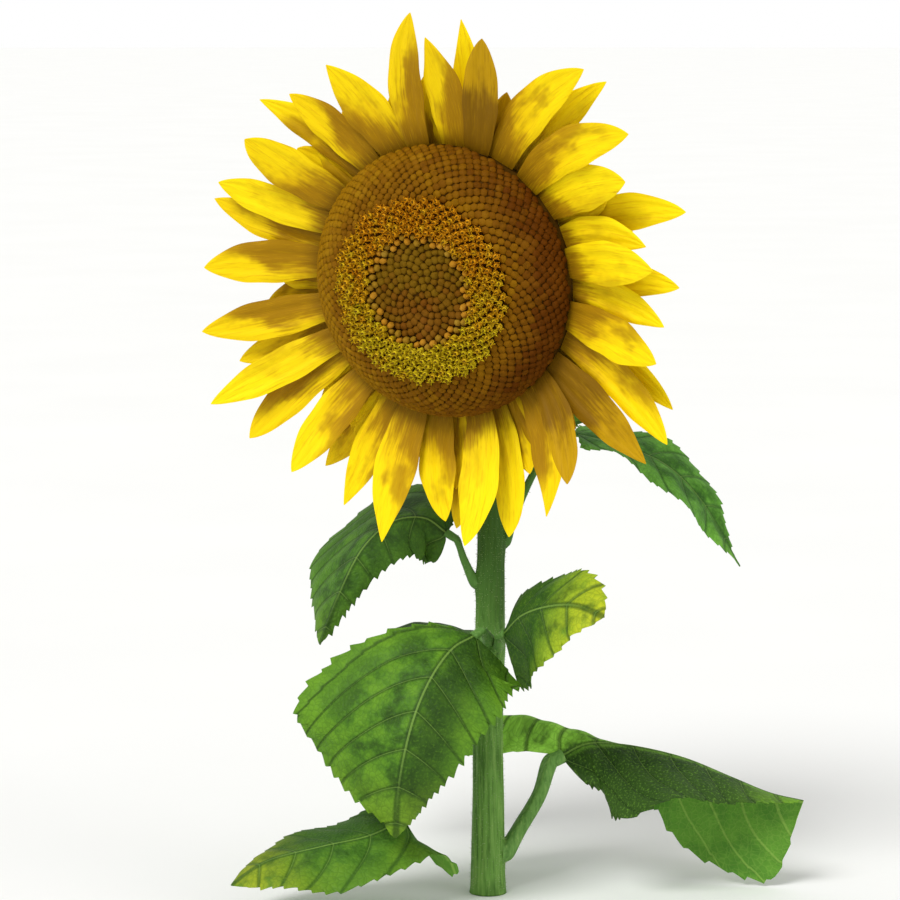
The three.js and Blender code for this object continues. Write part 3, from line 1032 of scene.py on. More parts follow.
@dataclass
class Stem:
    """The stem: a ribbed, tapering tube from the ground to the head's neck."""

    head: HeadFrame
    path: tuple[Point, ...] = (
        (0, 0, 0), (0, 0, 30), (0, 0, 60), (0, 0, 95), (1, 2, 155), (1.5, 6, 204),
        (1, 12, 240), (1, 21, 288), (2, 29, 326), (2.5, 32, 350), (0.5, 25, 371),
    )
    foot_radius: float = 9.5
    neck_radius: float = 7.6
    flare: float = 1.8
    flare_height: float = 14.0
    swell: float = 3.2
    ribs: int = 15
    rib_height: float = 0.22
    even_foot: float = 12.0  # height over which ribs and waves fade in
    drift: float = 0.25  # how far the ribs turn to and fro, in radians
    drift_run: float = 60.0
    wanders: tuple[Point, ...] = ((0.22, 2, 21), (0.15, 3, -13))  # depth, waves round, run
    node_bulge: float = 1.3  # how far the stem swells under a petiole
    node_reach: float = 7.5
    neck_run: float = 20.0  # straight end of the stem behind the head
    rings: int = 340
    sides: int = 120

    TAPER_TO = 0.8  # share of the stem at which it stops getting thinner
    NECK_FROM = 0.85  # share of the stem at which it swells towards the head

    @cached_property
    def course(self) -> Course:
        """Middle line of the stem.

        Returns:
            A curve that ends square to the back of the head.
        """
        forward = self.head.axes[:, 2]
        neck = np.asarray(self.head.centre) - (self.head.depth + SEAT_GAP) * forward
        back = self.neck_run * forward
        return Course(np.vstack([self.path, neck - back, neck - back / 2, neck]))

    def radius(self, share: Array) -> Array:
        """Smooth radius: a taper plus a flare that fades up from the foot, as
        exp(-height / flare height), plus a swell at the neck.

        Args:
            share: places along the stem.

        Returns:
            Its radius at each.
        """
        thinner = self.foot_radius - self.neck_radius
        taper = self.foot_radius - thinner * smooth(share, 0.0, self.TAPER_TO)
        flare = self.flare * np.exp(-share * self.course.length / self.flare_height)
        return taper + flare + self.swell * smooth(share, self.NECK_FROM, 1.0) ** 2

    def seat(self, height: float, bearing: float) -> tuple[Array, Array, Array]:
        """Where a petiole leaves the stem.

        Args:
            height: height of the seat.
            bearing: direction round the stem, 0 is +X and 90 is +Y.

        Returns:
            The point just off the surface, the way out and the stem's own direction.
        """
        shares = np.arange(0.0, 1.0, 0.002)
        points, tangents = self.course.at(shares)
        index = int(np.argmax(points[:, 2] >= height))
        angle = np.radians(bearing)
        outward = np.array([np.cos(angle), np.sin(angle), 0.0])
        outward = unit(outward - (outward @ tangents[index]) * tangents[index])
        start = points[index] + outward * (self.radius(shares[index]) + SEAT_GAP)
        return start, outward, tangents[index]

    def surface(self, seats: Sequence[Array]) -> tuple[Shell, Array, Array]:
        """Stem with ribs, a gentle wander and a bulge under each petiole.

        The radius is the smooth one, plus two slow sines round and up the stem, plus
        rib height times 2 |cos| - 1.2 of the ribs' turn, plus a bell-shaped bulge at
        each seat.

        Args:
            seats: points where petioles leave.

        Returns:
            The shell, its points (rings, sides, 3) and outward directions.
        """
        share = np.linspace(0.0, 1.0, self.rings)
        centres, tangents = self.course.at(share)
        normals = carried(tangents, np.array([1.0, 0.0, 0.0]))
        angle = even_turns(self.sides)[None, :]
        height = share[:, None] * self.course.length
        drift = self.drift * np.sin(height / self.drift_run)
        ribs = self.rib_height * (2 * np.abs(np.cos(self.ribs * (angle + drift) / 2)) - 1.2)
        wander = sum(depth * np.sin(waves * angle + height / run) for depth, waves, run in self.wanders)
        radii = self.radius(share)[:, None] + (ribs + wander) * smooth(height, 0.0, self.even_foot)
        points, _ = rings_round(centres, tangents, normals, radii)
        for seat in seats:
            gap = np.linalg.norm(points - seat, axis=-1)
            radii = radii + self.node_bulge * bell(gap, self.node_reach)
        points, spokes = rings_round(centres, tangents, normals, radii)
        return tube_shell(points, radii, self.course.length), points, spokes


@dataclass
class Hairs:
    """Short stiff hairs on the stem and the petioles, joined in one piece."""

    seed: int = 11
    count: int = 5200
    length: float = 1.5
    base: float = 0.13
    sunk: float = 0.15  # how deep a root lies in the skin

    def kernel(self) -> Shell:
        """Three-sided spike, bent a little.

        Returns:
            A spike of unit length along +Z.
        """
        foot = circle(3) * self.base
        middle = foot * 0.6 + np.array([0.06, 0.0, 0.55])
        points = np.vstack([foot, middle, [[0.22, 0.0, 1.0]]])
        faces = np.concatenate([grid_faces(2, 3, closed=True), fan_faces(6, np.array([3, 4, 5]))])
        return Shell.of(points, faces)

    def grown(self, points: Array, outward: Array) -> Shell:
        """Hairs that start on given points.

        Args:
            points: candidate roots (..., 3).
            outward: directions away from the surface (..., 3).

        Returns:
            The hairs as one shell.
        """
        rng = np.random.default_rng(self.seed)
        roots, ways = points.reshape(-1, 3), outward.reshape(-1, 3)
        chosen = rng.integers(0, len(roots), self.count)
        lean = unit(ways[chosen] + rng.normal(0.0, 0.28, (self.count, 3)))
        side = unit(np.cross(lean, rng.normal(0.0, 1.0, (self.count, 3))))
        size = self.length * rng.uniform(0.45, 1.25, (self.count, 1))
        frames = np.stack([side, np.cross(lean, side), lean * size], axis=-1)
        keep = roots[chosen][:, 2] > 2 * self.length
        return scattered(self.kernel(), (roots[chosen] - self.sunk * ways[chosen])[keep], frames[keep])


# ---- Leaves ------------------------------------------------------------------
@dataclass(frozen=True)
class Half:
    """One half of a blade, from its midrib to its edge.

    `width` is the greatest, at the share `widest` of the blade; `lobe` is how
    far the basal lobe reaches back; `hang` is how far the half hangs at the
    base and at the tip; `shoulder` fills it out beside the petiole, `settled`
    is where the second hang is reached, `sag` the droop of the lobe, and `blunt`
    fills it out beside the tip, or draws it in if below zero.
    """

    width: float
    widest: float
    lobe: float
    hang: tuple[float, float]
    shoulder: float = 0.0
    settled: float = 0.8
    sag: float = 0.4
    blunt: float = 0.0

    ROOT_HALF = 2.8  # half width where the blade starts
    SAG_REACH = 0.05  # share of the blade over which the lobe's droop fades

    def swell(self, share: Array) -> Array:
        """Width as a share of the greatest: a skewed, flattened sine arch.

        Args:
            share: places along the blade.

        Returns:
            Shares of the greatest width.
        """
        skew = np.log(0.5) / np.log(self.widest)
        arch = np.sin(np.pi * np.minimum(share, 0.9999) ** skew) ** 0.85
        fill = self.shoulder * smooth(share, 0.0, 0.06) * (1 - smooth(share, 0.05, 0.35))
        fill = fill + self.blunt * smooth(share, 0.6, 0.8) * (1 - smooth(share, 0.93, 1.0))
        return arch + (1 - arch) * fill

    def offsets(self, share: Array, out: Array) -> tuple[Array, Array, Array, Array]:
        """Where the half's points lie from the midrib.

        Args:
            share: places along the blade (rows, 1).
            out: shares of the half width (1, cols).

        Returns:
            Width along the half, then how far sideways, up and back.
        """
        swell = self.swell(share)
        width = np.maximum(self.width * swell, self.ROOT_HALF * (1 - 0.86 * share)) * out
        hang = self.hang[0] + (self.hang[1] - self.hang[0]) * smooth(share, 0.0, self.settled)
        back = 1.6 * self.lobe * swell * (1 - share) ** 2 * out ** 1.6
        droop = self.sag * np.exp(-share / self.SAG_REACH) * back
        angle = np.radians(hang)
        return width, width * np.cos(angle), -width * np.sin(angle) - droop, back


@dataclass
class Leaf:
    """A leaf: petiole and toothed, veined blade.

    `height` and `bearing` say where the petiole leaves the stem, `stalk` is its
    course up to the blade's `base`, `midrib` the course of the blade's middle
    line and `face` the way its upper side looks.
    """

    name: str
    height: float
    bearing: float
    gauge: float
    face: Point
    stalk: tuple[Point, ...]
    base: Point
    midrib: tuple[Point, ...]
    left: Half
    right: Half
    finish: LeafFinish
    seed: int = 0
    teeth: int = 24
    tooth: float = 2.5
    taper: float = 0.46  # how much thinner the petiole is at the blade

    ROOT_GAP = 2.4 * SEAT_GAP
    ROWS_PER_TOOTH = 5
    TOOTH_RUNS = (-0.4, 0.4)  # how much longer or shorter a tooth is than the others
    TOOTH_SIZES = (0.55, 1.25)  # how far a tooth stands out, over `tooth`
    TOOTH_CURVE = 1.4  # power by which a tooth rises along the edge
    TOOTH_LEAN = 0.38  # how far a tooth points forward over how far it stands out
    TOOTH_DEPTH = 0.72  # share of the half width from which teeth push outwards
    HALF_COLUMNS = 36
    CROWDING = 0.75  # how much closer the columns stand at the midrib and at the edge
    THICKNESS = 0.75
    QUILT = 1.5  # how far the blade swells up between side veins
    WAVE = 2.2  # how far the edge waves up and down
    WAVE_RUN = 9.0  # length of a wave over 2 pi
    RIB = 1.5  # how far the midrib stands out below, at the base
    GROOVE = (0.45, 1.5)  # depth and half width of the midrib's groove above
    VEIN = (0.35, 0.9)  # height of a side vein below, and its half width along the midrib
    STALK_RINGS = 90
    STALK_SIDES = 28
    STALK_INSET = 2.2  # how deep the petiole starts in the stem
    STALK_GROOVE = (0.2, 0.5)  # share of the radius, and reach in radians
    STALK_RIBS = 7
    STALK_RIB = 0.035  # share of the radius
    FOOT = (0.55, 5.0)  # how much the foot widens, and over what length it fades
    WEB = 0.5  # how much the petiole widens into the blade

    @cached_property
    def away(self) -> Array:
        """Direction in which the blade starts."""
        return unit(np.subtract(self.midrib[0], self.base))

    @cached_property
    def course(self) -> Course:
        """Middle line of the blade.

        Returns:
            A curve that starts straight on from the petiole.
        """
        base = np.asarray(self.base, float)
        starts = [base + self.away * self.ROOT_GAP, base + self.away * (self.ROOT_GAP + 3)]
        return Course(np.vstack([starts, self.midrib]))

    def sheet(self, share: Array, out: Array) -> tuple[Array, Array]:
        """Middle surface of the blade.

        A point is midrib + sideways * right + rise * up - back * along.

        Args:
            share: places along the blade (rows).
            out: shares of the half width (cols), from 0 to 1.

        Returns:
            Points (rows, 2 cols - 1, 3) and their chart in millimetres.
        """
        middle, along = self.course.at(share)
        right = unit(np.cross(along, self.face))
        upward = np.cross(right, along)
        sheets, charts = [], []
        for half, side in ((self.left, -1.0), (self.right, 1.0)):
            width, sideways, rise, back = half.offsets(share[:, None], out[None, :])
            sheets.append(middle[:, None] + right[:, None] * (side * sideways)[..., None]
                          + upward[:, None] * rise[..., None] - along[:, None] * back[..., None])
            charts.append(np.stack([side * width, share[:, None] * self.course.length - back], -1))
        grid = np.concatenate([sheets[0][:, :0:-1], sheets[1]], axis=1)
        return grid, np.concatenate([charts[0][:, :0:-1], charts[1]], axis=1)

    def stations(self, rng: np.random.Generator) -> Array:
        """Rows at even steps of the edge, grouped in teeth of uneven length.

        Args:
            rng: source of the unevenness.

        Returns:
            Places along the blade, from 0 to 1.
        """
        dense = np.linspace(0.0, 1.0, 600) ** 1.5
        edge, _ = self.sheet(dense, np.array([0.0, 1.0]))
        steps = np.linalg.norm(np.diff(edge[:, [0, 2]], axis=0), axis=-1).mean(axis=1)
        travel = np.concatenate([[0.0], np.cumsum(steps)]) / steps.sum()
        lengths = 1 + rng.uniform(*self.TOOTH_RUNS, self.teeth)
        starts = np.concatenate([[0.0], np.cumsum(lengths)]) / lengths.sum()
        marks = np.arange(self.teeth * self.ROWS_PER_TOOTH + 1) / self.ROWS_PER_TOOTH
        return np.interp(np.interp(marks, np.arange(self.teeth + 1), starts), travel, dense)

    def serrated(self, grid: Array, out: Array, rng: np.random.Generator) -> Array:
        """Pushes the edge out into forward-pointing teeth.

        Within a tooth the edge rises by a power of t up to the last row and drops back;
        the push fades inwards from the edge.

        Args:
            grid: middle surface (rows, cols, 3).
            out: share of the half width of each column.
            rng: source of the teeth's sizes.

        Returns:
            The surface with its teeth.
        """
        rows = len(grid)
        step = np.arange(rows) % self.ROWS_PER_TOOTH / (self.ROWS_PER_TOOTH - 1)
        number = np.minimum(np.arange(rows) // self.ROWS_PER_TOOTH, self.teeth - 1)
        share = np.linspace(0.0, 1.0, rows)
        fade = smooth(share, 0.03, 0.14) * (1 - smooth(share, 0.88, 0.97))
        toothed = grid.copy()
        for edge, inner, columns in ((0, 1, out < 0), (-1, -2, out > 0)):
            size = self.tooth * rng.uniform(*self.TOOTH_SIZES, self.teeth)[number]
            push = (size * fade * step ** self.TOOTH_CURVE)[:, None]
            ahead = unit(np.gradient(grid[:, edge], axis=0))
            outward = grid[:, edge] - grid[:, inner]
            outward = unit(outward - (outward * ahead).sum(1, keepdims=True) * ahead)
            shift = (outward + self.TOOTH_LEAN * ahead) * push
            weight = smooth(np.abs(out[columns]), self.TOOTH_DEPTH, 1.0) ** 2
            toothed[:, columns] += shift[:, None] * weight[None, :, None]
        return toothed

    def blade(self) -> Shell:
        """Blade with teeth, quilting between its veins and a rib below.

        The upper side swells by |sin(pi phase)| between side veins and dips
        over the midrib; the lower side carries a half-round rib that tapers.

        Returns:
            The blade in the plant's frame.
        """
        rng = np.random.default_rng(self.seed + 100)
        even = np.linspace(0.0, 1.0, self.HALF_COLUMNS + 1)
        out = even - self.CROWDING * np.sin(2 * np.pi * even) / (2 * np.pi)
        share = self.stations(rng)
        grid, chart = self.sheet(share, out)
        signed = np.concatenate([-out[:0:-1], out])
        normal = facing(grid)
        grid = self.serrated(grid, signed, rng)
        across, along = chart[..., 0], chart[..., 1]
        side, size = np.abs(signed)[None, :], np.abs(across)
        phase = self.finish.veins.phase(across, along)
        quilt = self.QUILT * np.abs(np.sin(np.pi * phase)) * smooth(size, 1.0, 12.0) * (1 - side ** 6)
        turns = rng.uniform(0.0, 2 * np.pi, 2)
        offset = np.where(signed < 0, turns[0], turns[1])[None, :]
        wave = self.WAVE * side ** 2 * np.sin(along / self.WAVE_RUN + offset) * smooth(size, 8.0, 30.0)
        grid = grid + normal * (quilt + wave)[..., None]
        span = share[:, None]
        groove = self.GROOVE[0] * bell(across, self.GROOVE[1]) * (1 - 0.5 * span)
        thin = self.THICKNESS / 2 * (1 - 0.55 * side ** 4)
        reach = self.gauge * (1 - self.taper) * (1 - 0.75 * span)
        rib = self.RIB * (1 - 0.8 * span) * np.sqrt(np.clip(1 - (across / reach) ** 2, 0.0, 1.0))
        near = np.abs(phase - np.round(phase)) * self.finish.veins.spacing
        veins = self.VEIN[0] * bell(near, self.VEIN[1]) * (1 - side ** 3)
        below = thin + rib + veins
        return plate_shell(grid, thin - groove, below, chart / CHART_UNIT, paired(span, side))

    def petiole(self, stem: Stem) -> tuple[Shell, Array, Array]:
        """Petiole: a tube with a groove along its upper side and a broad foot.

        The radius at angle a is gauge times the taper, less a bell-shaped groove
        round a = 0, plus a foot that fades along the course and a web, as sin^2 a,
        that widens it into the blade.

        Args:
            stem: the stem that carries it.

        Returns:
            The shell, its points and its outward directions.
        """
        start, outward, rise = stem.seat(self.height, self.bearing)
        base = np.asarray(self.base, float)
        inside = start - outward * self.STALK_INSET
        path = np.vstack([[inside, start], self.stalk, base - 6 * self.away, base - 3 * self.away,
                          base + self.away * (self.ROOT_GAP + 1.0)])
        course = Course(path)
        share = np.linspace(0.0, 1.0, self.STALK_RINGS)
        centres, tangents = course.at(share)
        tilt = smooth(share, 0.55, 1.0)[:, None]
        blade_up = np.cross(unit(np.cross(self.away, self.face)), self.away)
        above = carried(tangents, rise)
        above = above * (1 - tilt) + blade_up * tilt
        above = unit(above - (above * tangents).sum(1, keepdims=True) * tangents)
        angle = even_turns(self.STALK_SIDES)[None, :]
        turn = np.minimum(angle, 2 * np.pi - angle)
        depth, reach = self.STALK_GROOVE
        groove = depth * bell(turn, reach) * smooth(share, 0.05, 0.25)[:, None]
        ribs = self.STALK_RIB * np.cos(self.STALK_RIBS * angle)
        foot = self.FOOT[0] * np.exp(-share * course.length / self.FOOT[1])[:, None]
        taper = self.gauge * (1 - self.taper * share)[:, None]
        web = self.WEB * np.sin(angle) ** 2 * smooth(share, 0.55, 1.0)[:, None]
        radii = taper * (1 - groove + ribs + foot + web)
        points, spokes = rings_round(centres, tangents, above, radii)
        return tube_shell(points, radii, course.length), points, spokes


# ---- Head --------------------------------------------------------------------
@dataclass(frozen=True)
class Petal:
    """A ray petal.

    `bearing` is its root's angle clockwise from the top as seen from the front,
    `sweep` turns its tip aside, `reach` is the tip's distance from the head's
    axis, `width` the greatest, `tier` 0 in front to 4 at the back and `tone`
    its colouring.
    """

    bearing: float
    sweep: float
    reach: float
    width: float
    tier: int
    tone: Tone = Tone.DEEP
    root: float = 80.0  # its root's distance from the head's axis

    FRONT = 1.1  # height of the front tier's roots over the rim plane
    TIER_DROP = 2.1
    FRONT_LIFT = 26.0  # how far a front petal's tip comes forward
    LIFT_STEP = 5.0
    BEND = 0.42  # share of the lift that is reached halfway
    TROUGH = 1.4
    PLEAT = 0.55
    RIB = 0.1
    ROLL = 0.9
    RIPPLE = 0.5
    THICKNESS = 0.64
    LEAST_HALF = 0.28
    WIDEST = 0.48
    FOOT = 0.66  # width at the root over the greatest
    ROWS = 46
    COLUMNS = 17

    def around(self, radius: float, turn: float, height: float) -> Array:
        """Point of the head's frame at a radius, a turn from the root and a height."""
        angle = np.radians(self.bearing + turn)
        return np.array([radius * np.sin(angle), radius * np.cos(angle), height])

    def width_share(self, share: Array, drawn: float) -> Array:
        """Width over the greatest: a sine up to the widest place, then a power curve
        mixed with a cosine.

        Args:
            share: places along the petal.
            drawn: how much of the cosine, which draws the tip out to a point.

        Returns:
            Shares of the greatest width.
        """
        rising = self.FOOT + (1 - self.FOOT) * np.sin(np.pi / 2 * np.minimum(share / self.WIDEST, 1.0))
        late = np.clip((share - self.WIDEST) / (1 - self.WIDEST), 0.0, 1.0)
        tapered = (1 - drawn) * (1 - late ** 3.0) ** 0.8 + drawn * (1 + np.cos(np.pi * late)) / 2
        return np.where(share < self.WIDEST, rising, tapered)

    def surface(self, rng: np.random.Generator) -> Shell:
        """Petal on a bent middle line, pleated lengthways.

        The middle line is a quadratic curve from the root to the tip. Across it
        lie two pleats, fine ribs, a trough and a small wave of its own.

        Args:
            rng: source of the petal's own waves.

        Returns:
            The petal in the head's frame.
        """
        share = np.linspace(0.0, 1.0, self.ROWS)
        back = self.FRONT - self.TIER_DROP * self.tier
        lift = self.FRONT_LIFT - self.LIFT_STEP * self.tier
        root = self.around(self.root, 0.0, back)
        halfway = self.around((self.root + self.reach) / 2, 0.0, back + self.BEND * lift)
        tip = self.around(self.reach, self.sweep, back + lift)
        t, s = share[:, None], np.linspace(-1.0, 1.0, self.COLUMNS)[None, :]
        middle = bowed(root, halfway, tip, t)
        tangent = unit((1 - t) * (halfway - root) + t * (tip - halfway))
        right = unit(np.cross(tangent, UP))
        drawn = rng.uniform(0.05, 0.6)
        half = np.maximum(self.width / 2 * self.width_share(share, drawn), self.LEAST_HALF)
        wobble = 1 + 0.035 * np.sin(share * 17 + rng.uniform(0, 6)) * np.sin(np.pi * share)
        waves = rng.uniform(0.0, 2 * np.pi, 3)
        arch = np.sin(np.pi * t)
        pleats = self.PLEAT * np.cos(3 * np.pi * s) * arch ** 0.5 * (1 - 0.4 * t)
        ribs = self.RIB * np.cos(11 * np.pi * s + waves[0]) * arch
        roll = rng.uniform(-self.ROLL, self.ROLL) * np.sign(s) * s ** 2 * smooth(t, 0.3, 1.0) * arch
        ripple = self.RIPPLE * s ** 2 * np.sin(13 * t + waves[1] + 1.3 * s) * arch
        grid = middle[:, None] + right[:, None] * (s * (half * wobble)[:, None])[..., None]
        grid[..., 2] += self.TROUGH * np.abs(s) * arch + pleats + ribs + roll + ripple
        chart = paired(s * half[:, None], t * np.linalg.norm(tip - root)) / CHART_UNIT
        chart = chart + rng.uniform(0.0, 5.0, 2) * np.array([0.0, 1.0])
        thin = tapering(self.THICKNESS, t, s)
        return plate_shell(grid, thin, thin, chart, paired(t, np.abs(s)))


@dataclass
class Disc:
    """Domed disc: one spiral of florets over a rounded base.

    Floret n stands n golden angles round, where the dome's area up to it is
    n shares of the whole, so that every floret has the same room.
    """

    count: int = 1500
    seed: int = 5
    segments: int = 96
    dome: tuple[tuple[float, float], ...] = (
        (0.0, 35.4), (14.0, 35.2), (26.0, 34.2), (33.0, 33.6), (44.0, 33.2), (53.0, 30.8),
        (63.0, 26.4), (71.0, 20.6), (76.5, 13.6), (79.4, 6.6), (79.6, 4.2),
    )
    floor: float = 3.5
    inner: float = 30.5
    outer: float = 53.0
    rim: float = 2.5  # half the band of buds between the centre and the ring
    wall: float = 2.5  # thickness of the base under the ring and the centre
    sizes: tuple[float, float] = (0.92, 1.1)  # least and greatest size of a floret

    @cached_property
    def profile(self) -> Array:
        """Radius and height of the dome, from its top to its edge."""
        return rounded(self.dome, 120)

    def base(self, low: float, high: float, finish: int) -> Shell:
        """Dome under the florets between two radii, closed below.

        Args:
            low: inner radius.
            high: outer radius.
            finish: number of its finish in the piece's list.

        Returns:
            A closed ring or cap.
        """
        ring = self.profile[(self.profile[:, 0] >= low) & (self.profile[:, 0] <= high)]
        bottom = self.floor if high > self.outer else ring[:, 1].min() - self.wall
        start = [[0.0, bottom], [ring[-1, 0], bottom]]
        shell = lathe_shell(np.vstack([start, ring[::-1], [[0.0, ring[0, 1]]]]), self.segments)
        shell.finish[:] = finish
        return shell

    def stands(self) -> tuple[Array, Array, Array, Array]:
        """Places of all the florets.

        Returns:
            Radii, angles, points (n, 3) and frames (n, 3, 3) whose columns run
            sideways, outwards along the dome and off it.
        """
        radius, height = self.profile[:, 0], self.profile[:, 1]
        strips = np.hypot(np.diff(radius), np.diff(height)) * (radius[1:] + radius[:-1]) / 2
        area = np.concatenate([[0.0], np.cumsum(strips)])
        number = (np.arange(self.count) + 0.5) / self.count
        travel = np.interp(number, area / area[-1], np.arange(len(radius)))
        r, z, slope_r, slope_z = (
            np.interp(travel, np.arange(len(radius)), values)
            for values in (radius, height, np.gradient(radius), np.gradient(height))
        )
        angle = np.arange(self.count) * GOLDEN_ANGLE
        outward, sideways = turn_about_z(angle)
        run = unit(outward * slope_r[:, None] + UP * slope_z[:, None])
        points = outward * r[:, None] + UP * z[:, None]
        frames = np.stack([sideways, run, np.cross(sideways, run)], axis=-1)
        return r, angle, points, frames

    @staticmethod
    def bud(rings: Sequence[tuple[float, float]], sides: int = 6) -> Shell:
        """Rounded bud: rings closed by a tip.

        Args:
            rings: radius and height of each ring, the last of them the tip.
            sides: corners of a ring.

        Returns:
            A bud along +Z, open below.
        """
        levels = np.array([[r, r, 0.0] for r, _ in rings[:-1]])
        points = circle(sides)[None] * levels[:, None]
        points[..., 2] = np.array([z for _, z in rings[:-1]])[:, None]
        count = len(levels) * sides
        faces = np.concatenate([
            grid_faces(len(levels), sides, closed=True),
            fan_faces(count, np.arange(sides) + count - sides),
        ])
        return Shell.of(np.vstack([points.reshape(-1, 3), [[0.0, 0.0, rings[-1][1]]]]), faces)

    @staticmethod
    def curl(turn: float, radius: float, start: float, gauge: float) -> Shell:
        """Curled arm of a style: a three-sided thread bent into a hook.

        Args:
            turn: way that it bends, as an angle round the floret.
            radius: radius of the hook.
            start: height at which it leaves.
            gauge: thickness of the thread.

        Returns:
            The arm.
        """
        sweep = np.linspace(0.0, 1.25 * np.pi, 6)
        way = np.array([np.cos(turn), np.sin(turn), 0.0])
        aside, height = radius * (1 - np.cos(sweep)), start + radius * np.sin(sweep)
        centres = way * aside[:, None] + UP * height[:, None]
        tangents = way * np.sin(sweep)[:, None] + UP * np.cos(sweep)[:, None]
        normals = np.broadcast_to(np.cross(UP, way), centres.shape)
        radii = np.linspace(gauge, 0.6 * gauge, 6)[:, None] * np.ones((1, 3))
        return tube_shell(rings_round(centres, tangents, normals, radii)[0], radii, 1.0)

    @classmethod
    def open_floret(cls) -> Shell:
        """Open floret: a five-lobed tube, a dark anther column and two curled arms.

        Returns:
            A floret along +Z, with finishes 0 for the tube, 1 for the column and
            2 for the arms.
        """
        sides = 10
        lobe = np.tile([1.0, 0.0], 5)
        rings = [(1.6, 0.0, 0.0), (1.6, 3.6, 0.0), (1.7, 4.6, 0.3), (1.65, 5.2, 0.9), (1.5, 5.0, 1.6)]
        levels = []
        for radius, height, spread in rings:
            reach = radius + spread * lobe - 0.25 * spread * (1 - lobe)
            level = circle(sides) * reach[:, None]
            level[:, 2] = height - 0.5 * spread * (1 - lobe)
            levels.append(level)
        tube = Shell.of(np.concatenate(levels), grid_faces(len(rings), sides, closed=True))
        anther = cls.bud([(1.6, 4.2), (0.75, 4.9), (0.55, 5.7), (0.0, 6.0)], 5)
        anther.finish[5:] = 1
        arms = [cls.curl(turn, 0.7, 5.4, 0.3) for turn in (0.3, 0.3 + np.pi)]
        for arm in arms:
            arm.finish[:] = 2
        return Shell.joined([tube, anther, *arms])

    def zone(self, kernel: Shell, chosen: Array, scale: Array, finish: Array, spin: float) -> Shell:
        """Florets of one kind at chosen places.

        Args:
            kernel: the floret.
            chosen: which places.
            scale: size of each chosen floret.
            finish: finish of each chosen floret.
            spin: how far a floret may be turned about its own axis.

        Returns:
            The florets.
        """
        _, _, points, frames = self.stands()
        rng = np.random.default_rng(self.seed + len(kernel.points))
        turn = rng.uniform(-spin, spin, int(chosen.sum()))
        outward, sideways = turn_about_z(-turn)
        roll = np.stack([sideways, outward, np.broadcast_to(UP, outward.shape)], axis=-1)
        lean = rng.normal(0.0, 0.06, (len(turn), 3, 3))
        frames = (frames[chosen] @ roll + lean) * scale[:, None, None]
        shell = scattered(kernel, points[chosen], frames)
        shell.finish = shell.finish + np.repeat(finish, len(kernel.faces))
        return shell


def dealt(level: Array, dice: Array, spread: float, count: int) -> Array:
    """Tone of each floret, from 0 to count - 1: a level scattered by its own dice."""
    return np.clip(level + spread * (dice - 0.5), 0, count - 1).round().astype(int)


